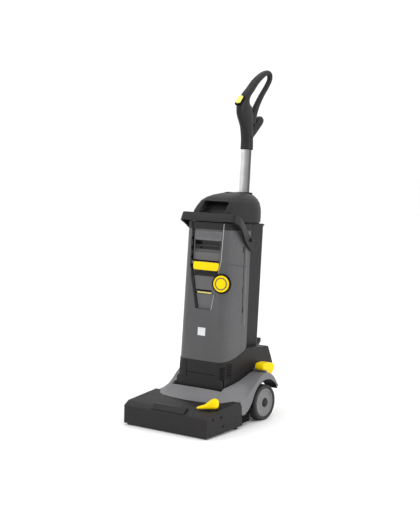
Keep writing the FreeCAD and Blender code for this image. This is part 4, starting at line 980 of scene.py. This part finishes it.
@dataclass
class TankTrim:
    """Trim and painted shade on the tank's front and sides, with its latch and filler cap."""

    ahead: Vector = field(default_factory=lambda: leaned(0, 1, 0) - leaned(0, 0, 0))
    bands: tuple[tuple[str, tuple[float, ...], Finish], ...] = (
        # The dark bands here are painted shade: the shaded finger recess with its darker left third, the
        # shade round the latch's top edge, the gap under the latch and the dark line over the yellow strip.
        ("band_upper", (-53, 63, 546, 518), Finish.BAND),
        ("recess_shade", (-50, 62, 516, 487), Finish.PAINTED_SHADE_AND_DARK),
        ("recess_shade_left", (-51, -22, 515, 489), Finish.BLACK),
        ("latch_shade", (-52, 60, 452, 448), Finish.BLACK),
        ("latch_gap_shade", (-48, 52, 419, 401), Finish.PAINTED_SHADE_AND_DARK),
        ("slot_shade", (-36, 25, 357, 350), Finish.BLACK),
        ("slot_strip", (-34, 23, 350, 345.5), Finish.STRIP),
    )

    def build(self) -> None:
        """Lay the trim and the painted shade on the tank."""
        toward = self.ahead.normalized()
        skin = Skin(("fresh_water_tank", "front_panel", "tank_lid", "lower_housing"))
        for name, (left, right, top, foot), finish in self.bands:
            middle = (top + foot) / 2
            path = [(left, TANK_FRONT, middle), (right, TANK_FRONT, middle)]
            add_piece(name, skin.ribbon(path, top - foot, toward, 0.5), "tank", finish)
        # The black strip along the groove is painted shade: the shaded left wall of the front panel's recess.
        groove = [(-57.6, 575), (-58, 520), (-57, 430), (-50, 400), (-40, 350), (-27, 300)]
        # The pale strip along the right edge is a painted highlight: the lit right border of the front
        # panel's recess.
        edge = [(67.6, 572.7), (63.7, 451.5), (51.5, 396.2), (34.2, 295.3)]
        groove, edge = ([(a, TANK_FRONT, b) for a, b in line] for line in (groove, edge))
        add_piece("groove_left_shade", skin.ribbon(groove, 3.4, toward, 0.7), "tank", Finish.BLACK)
        add_piece("ridge_right_highlight", skin.ribbon(edge, 1.5, toward, 1.1), "tank", Finish.PAINTED_HIGHLIGHT)
        label = [(-14.6, TANK_FRONT, 222.5), (15.6, TANK_FRONT, 222.5)]
        add_piece("rating_label", skin.ribbon(label, 25.8, toward, 0.25), "tank", Finish.LABEL)
        self._side(Skin(("fresh_water_tank", "dirty_water_tank")))
        self._latch()
        self._cap()

    def _side(self, skin: Skin) -> None:
        """Seam, joint and rib on both sides of the tank, with black strips of painted shade for the slots."""
        for hand, mark in HANDS:
            toward = Vector((-mark, 0.0, 0.0))
            # The three slot strips are painted shade: black where the slots' openings lie in shade.
            trims = (("seam", [(93, -60, 505), (93, -60, 380), (93, -58, 250)], 1.4, Finish.BLACK),
                     ("joint", [(93, -141, 447), (93, -100, 442), (93, -47, 436)], 1.0, Finish.PAINTED_SHADE_AND_DARK),
                     ("slot_shade_high", [(93, -66, 502), (93, -66, 482)], 4.0, Finish.BLACK),
                     ("slot_shade_middle", [(93, -60, 372), (93, -60, 350)], 4.0, Finish.BLACK),
                     ("slot_shade_low", [(93, -58, 306), (93, -58, 288)], 4.0, Finish.BLACK),
                     ("rib", [(93, -48, 505), (93, -47, 380), (93, -46, 250)], 6.0, Finish.BAND))
            for name, path, width, finish in trims:
                path = [(mark * a, b, c) for a, b, c in path]
                add_piece(f"{name}_{hand}", skin.ribbon(path, width, toward, 0.45), "tank", finish)

    def _latch(self) -> None:
        """The long yellow pull with its rounded lower corners."""
        def on_front(a: float, b: float, out: float) -> Vector:
            """Place a point of the latch."""
            return leaned(a, -142 - out, b)

        outline = [(-46, 445), (-46, 428), (-44.5, 423.5), (-41, 421), (-30, 420.6), (42, 420.6), (50, 421.5),
                   (54, 424.5), (55.5, 430), (56, 445), (53, 446.5), (-43, 446.5)]
        add_piece("latch_pull", slab(outline, -2, 10.5, 2.4, on_front, 4), "tank_latch", Finish.YELLOW,
                  ("tank_latch",))

    def _cap(self) -> None:
        """The round filler cap in a black ring whose colour is painted shade round the cap."""
        turn = math.radians(16)

        def on_corner(a: float, b: float, out: float) -> Vector:
            """Place a point of the cap, turned to the right of the front."""
            stand = out + 4.2
            across = 70 + a * math.cos(turn) + stand * math.sin(turn)
            return leaned(across, -148.5 + a * math.sin(turn) - stand * math.cos(turn), 382 + b)

        # The black ring stands for the shadow round the cap: a raised rim whose black is painted shade.
        rim = [(26.9, -8.0), (31.5, -8.0), (31.5, -1.0), (30.6, 0.6), (29.0, 1.2), (27.4, 0.9), (26.9, 0.2)]
        add_piece("cap_shade_ring", turned(rim, on_corner, 72), "tank", Finish.BLACK)
        lid = [(0.01, 3.3), (0.01, -6.0), (26.5, -6.0), (26.5, 1.2), (26.0, 2.4), (24.9, 3.1), (23.4, 3.2),
               (22.4, 2.7), (21.2, 2.6), (12.0, 3.1)]
        add_piece("cap_face", turned(lid, on_corner, 72), "filler_cap", Finish.YELLOW,
                  ("filler_cap",))


@dataclass
class FootTrim:
    """Louvre strips of painted shade, seams and skirts of the lower housing, and the yellow lever and pedal.
    """

    lever: tuple[tuple[float, ...], ...] = (
        (-37, -27, 1.5, 84.5, 87), (-34, -25, 4, 84, 90), (-26, -20, 6.5, 83.5, 93),
        (-16, -13.5, 8.5, 83.5, 97),
        (-7, -7, 11.5, 83.5, 105), (1, -1, 14, 83.5, 112.5), (8, 4, 14, 83.5, 115.5), (14, 8.5, 11, 85, 114),
        (18, 11.5, 6.5, 89, 110), (19.6, 12.6, 1.5, 96, 103))
    pedal: tuple[Point, ...] = (
        (40, 171), (45, 179), (58, 181.8), (80, 180.5), (99, 175), (106, 168), (104, 158), (94, 146),
        (84, 137.5), (75, 137.5), (67, 147), (54, 156), (42, 162))

    def build(self) -> None:
        """Make the pieces."""
        skin = Skin(("lower_housing",))
        for hand, mark in HANDS:
            # The louvre strips are painted shade: black lines for the shaded gaps between the housing's
            # louvre blades.
            for i in range(9):
                foot = 60 + 6.6 * i
                path = [(mark * 84, -151, foot - 3), (mark * 92, -146, foot), (mark * 96, -139, foot + 2.5)]
                add_piece(f"louvre_shade_{hand}_{i}",
                          skin.ribbon(path, 3.4, Vector((-mark * 0.75, 0.66, 0)).normalized(), 0.5),
                          "upright", Finish.BLACK)
        ahead = (leaned(0, 1, 0) - leaned(0, 0, 0)).normalized()
        for name, path, width in (("seam_upright", [(-55.9, -152, 122), (-51.2, -152, 70)], 1.6),
                                  ("seam_level", [(-80, -152, 88), (90, -152, 88)], 1.8)):
            add_piece(name, skin.ribbon(path, width, ahead, 0.4), "upright", Finish.BLACK)
        for hand, mark in HANDS:
            self._skirt(hand, mark)
            if mark > 0:
                self._front_skirt()
        self._lever()
        self._pedal()

    def _skirt(self, hand: str, mark: float) -> None:
        """The collar's lower side, down into the shroud's slot.

        Args:
            hand: side's name.
            mark: 1 for +X, -1 for -X.
        """
        def at_flank(a: float, b: float, out: float) -> Vector:
            """Place a point of the skirt."""
            return leaned(mark * (86 + out), a, b)

        outline = [(-138, 74), (-60, 98), (20, 128), (62, 142), (62, 100), (40, 92), (6, 79), (-56, 56),
                   (-100, 42), (-134, 38), (-141, 40)]
        add_piece(f"collar_skirt_{hand}", slab(outline, 0, 9.4, 1.5, at_flank), "upright", Finish.CHARCOAL)

    def _front_skirt(self) -> None:
        """The collar's lower front, down to the shroud."""
        def at_front(a: float, b: float, out: float) -> Vector:
            """Place a point of the front skirt."""
            return leaned(a, -142 - out, b)

        front = [(-88, 74), (88, 74), (92, 66), (93, 42), (89, 37), (-89, 37), (-93, 42), (-92, 66)]
        add_piece("collar_skirt_front", slab(front, 0, 7.4, 1.5, at_front), "upright", Finish.CHARCOAL)

    def _lever(self) -> None:
        """The teardrop lever on the hood, low at its tip and high at its bulb."""
        rings = []
        line = smooth_outline(self.lever, 4, closed=False)
        for i, (a, b, half, low, high) in enumerate(line):
            ahead, behind = line[min(i + 1, len(line) - 1)], line[max(i - 1, 0)]
            run = Vector((ahead[0] - behind[0], ahead[1] - behind[1], 0.0)).normalized()
            side = Vector((-run.y, run.x, 0.0)) * half * MM
            centre = (BRUSH_LEVER + Vector((a, b, (low + high) / 2))) * MM
            rings.append(oval(centre, side, Vector((0.0, 0.0, (high - low) / 2 * MM)), 2.6))
        add_piece("lever_bulb", loft(rings), "release_lever", Finish.YELLOW,
                  ("release_lever",))

    def _pedal(self) -> None:
        """The curved paddle beside the wheel."""
        def at_side(a: float, b: float, out: float) -> Vector:
            """Place a point of the pedal."""
            return Vector((111.5 + out, a, b)) * MM

        outline = smooth_outline(self.pedal, 4)
        add_piece("pedal_paddle", slab(outline, 0, 36.0, 5.0, at_side, 5), "tilt_pedal", Finish.YELLOW,
                  ("tilt_pedal",))


# ------------------------------------------------------------------ carried-over pieces
@dataclass
class Shroud:
    """The silver-grey saddle over the back of the hood, with its wheel arches."""

    inner: tuple[Point, ...] = (
        (-121, 119.5), (-114, 123), (-74, 127), (-36, 132), (0, 141), (25, 149), (54, 154), (76, 148),
        (92, 128), (100, 112))
    outer: tuple[Point, ...] = (
        (-135, 86.5), (-109, 87.5), (-90, 89), (-73, 94), (-46, 110), (-26, 128), (0, 146), (25, 155),
        (52, 154), (72, 144), (88, 126), (99, 108))
    foot: tuple[Point, ...] = ((-111, 84), (-107, 76), (-104, 44), (-98, 40), (-86, 41), (-70, 50), (-54, 64),
                               (-44, 78), (-29, 99), (101, 99))
    seam: tuple[Point, ...] = ((0, -187), (60, -182), (100, -172), (126, -157), (145, -138), (157, -120),
                               (165, -109))
    rows: tuple[float, ...] = (-187, -181, -174, -166, -158, -150, -142, -134, -127, -121, -116, -111, -107.5,
                               -104, -100, -94, -86, -76, -66, -56, -46, -36, -26, -16, -6, 5, 16, 27, 38, 49,
                               60, 70, 79, 87, 94, 100)
    arch: float = 77.0

    def _height(self, across: float, back: float) -> float:
        """Height of the saddle's top at one place."""
        side = smooth_step((abs(across) - 96) / 69)
        crest = height_at(self.inner, back)
        rim = height_at(self.outer, back)
        top = crest + (rim - crest) * side
        front = height_at(self.seam, abs(across))
        if back < -121:
            part = max(0.0, (back - front) / max(4.0, -121 - front))
            top = 86.5 + (top - 86.5) * part ** 1.5
        return top

    def _column(self, across: float, drop: float, back: float) -> Vector:
        """One grid point; drop is how far down the side wall it is, from 0 to 1."""
        back = max(back, height_at(self.seam, abs(across)) + 0.02 * (back + 187))
        top = self._height(across, back)
        if drop > 0:
            reach = self.arch ** 2 - (back - 31.2) ** 2
            low = max(height_at(self.foot, back), 58 + math.sqrt(reach) if reach > 0 else 0.0)
            low = min(low, top - 3)
            roll = top - 5
            top = roll + (low - roll) * (drop - 0.1) / 0.9 if drop > 0.1 else top - 5 * (drop / 0.1)
        elif drop < 0:
            top += drop
        return Vector((across, back, top)) * MM

    def build(self) -> None:
        """Make the saddle and its arch rims."""
        mesh = bmesh.new()
        middle = [(float(x), 0.0) for x in range(-90, 91, 15)]
        top = (100.8, 106.0, 114.0, 122.0, 130.0, 138.0, 146.0, 153.0, 158.0, 161.5)
        wall = (0.1, 0.3, 0.55, 0.8, 1.0)
        arm = [(100.0, -12.0), (100.0, -3.0)] + [(a, 0.0) for a in top] + [(164.0, 0.03)]
        arm += [(165.0, drop) for drop in wall]
        left = [(-a, d) for a, d in reversed(arm)]
        whole = left + middle + arm
        grid = []
        for back in self.rows:
            slot = back > -121.5
            line = []
            for across, drop in whole:
                if slot and abs(across) < 99:
                    line.append(None)
                    continue
                dip = 0.0 if drop < 0 and not slot else drop
                line.append(mesh.verts.new(self._column(across, dip, back)))
            grid.append(line)
        for first, second in zip(grid, grid[1:]):
            for a, b, c, d in zip(first, first[1:], second[1:], second):
                if a and b and c and d:
                    mesh.faces.new((a, b, c, d))
        bmesh.ops.remove_doubles(mesh, verts=mesh.verts, dist=0.00005)
        bmesh.ops.recalc_face_normals(mesh, faces=mesh.faces)
        if sum(face.normal.z for face in mesh.faces) < 0:
            bmesh.ops.reverse_faces(mesh, faces=mesh.faces)
        saddle = add_piece("saddle", mesh, "chassis", Finish.SILVER, ("shroud",), 1)
        shell = saddle.modifiers.new("shell", "SOLIDIFY")
        shell.thickness = 2.6 * MM
        shell.offset = -1.0
        for hand, mark in HANDS:
            rings = []
            for step in range(49):
                turn = math.radians(-2 + 152 * step / 48)
                rings.append([Vector((mark * a, 31.2 - r * math.cos(turn), 58 + r * math.sin(turn))) * MM
                              for a, r in ((118, 76.6), (163.2, 76.6), (164.2, 75.6), (164.2, 73.4),
                                           (163.2, 72.6), (118, 72.6))])
            add_piece(f"arch_rim_{hand}", loft(rings), "chassis", Finish.BLACK)


@dataclass
class CarriedOver:
    """CAD nodes whose shape is kept: finish, softened edge and the nodes that have them."""

    coats: tuple[tuple[Finish, float, str], ...] = (
        (Finish.CHARCOAL, 4.5, "brush_hood"),
        (Finish.CHARCOAL, 1.2, "hood_flap"),
        (Finish.BLACK, 0.8, "front_suction_bar rear_suction_bar pivot_bracket"),
        (Finish.LIP, 0.4, "squeegee_lips"),
        (Finish.BLACK, 0.6, "suction_elbow head_plate"),
        (Finish.BLACK, 0.5, "water_bar brush_core"),
        (Finish.BLACK, 1.2, "chassis_pan"),
        (Finish.STEEL, 0.4, "axle"),
        (Finish.BLACK, 0.4, "axle_spacers suction_riser guide_tube"),
        (Finish.STEEL, 0.3, "lever_pin pedal_pin"),
        (Finish.STEEL, 0.2, "pedal_spring motor_pulley latch_pin"),
        (Finish.STEEL, 0.6, "brush_motor fan_motor"),
        (Finish.LIP, 0.3, "drive_belt"),
        (Finish.CHARCOAL, 0.8, "brush_plate"),
        (Finish.BLACK, 0.2, "plate_screws"),
        (Finish.NYLON, 0.0, "brush_bristles"),
        (Finish.IVORY, 0.3, "brush_pulley float_cage"),
        (Finish.HUB, 0.6, "wheel_disc_right wheel_disc_left"),
        (Finish.TYRE, 0.8, "tyre_right tyre_left"),
        (Finish.CHARCOAL, 0.4, "hub_cap_right hub_cap_left"),
        (Finish.CHARCOAL, 1.6, "lower_housing"),
        (Finish.IVORY, 0.8, "water_pump"),
        (Finish.CHARCOAL, 1.5, "spine lower_cord_hook tank_lid"),
        (Finish.CHARCOAL, 2.0, "upper_cord_hook"),
        (Finish.LIP, 0.5, "cord_gland"),
        (Finish.IVORY, 0.4, "fan_impeller"),
        (Finish.TANK, 1.2, "fresh_water_tank"),
        (Finish.TANK, 1.0, "dirty_water_tank"),
        (Finish.PANEL, 0.6, "front_panel"),
        (Finish.BLACK, 0.3, "handle_screws"),
        (Finish.IVORY, 0.5, "tank_float"),
        (Finish.TUBE, 0.0, "handle_tube"),
        (Finish.PAINTED_SHADE_AND_DARK, 0.2, "grip_screws"),
    )

    def build(self) -> None:
        """Dress every node."""
        for finish, edge, nodes in self.coats:
            for node in nodes.split():
                dress(node, finish, edge)


def main() -> None:
    """Build everything in order."""
    logging.basicConfig(level=logging.INFO, format="%(message)s")
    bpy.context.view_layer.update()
    Studio().build()
    CarriedOver().build()
    SteeringHandle().build()
    Dome().build()
    CarryingHandle().build()
    TankTrim().build()
    FootTrim().build()
    Shroud().build()
    bpy.context.view_layer.update()


if __name__ == "__main__":
    main()
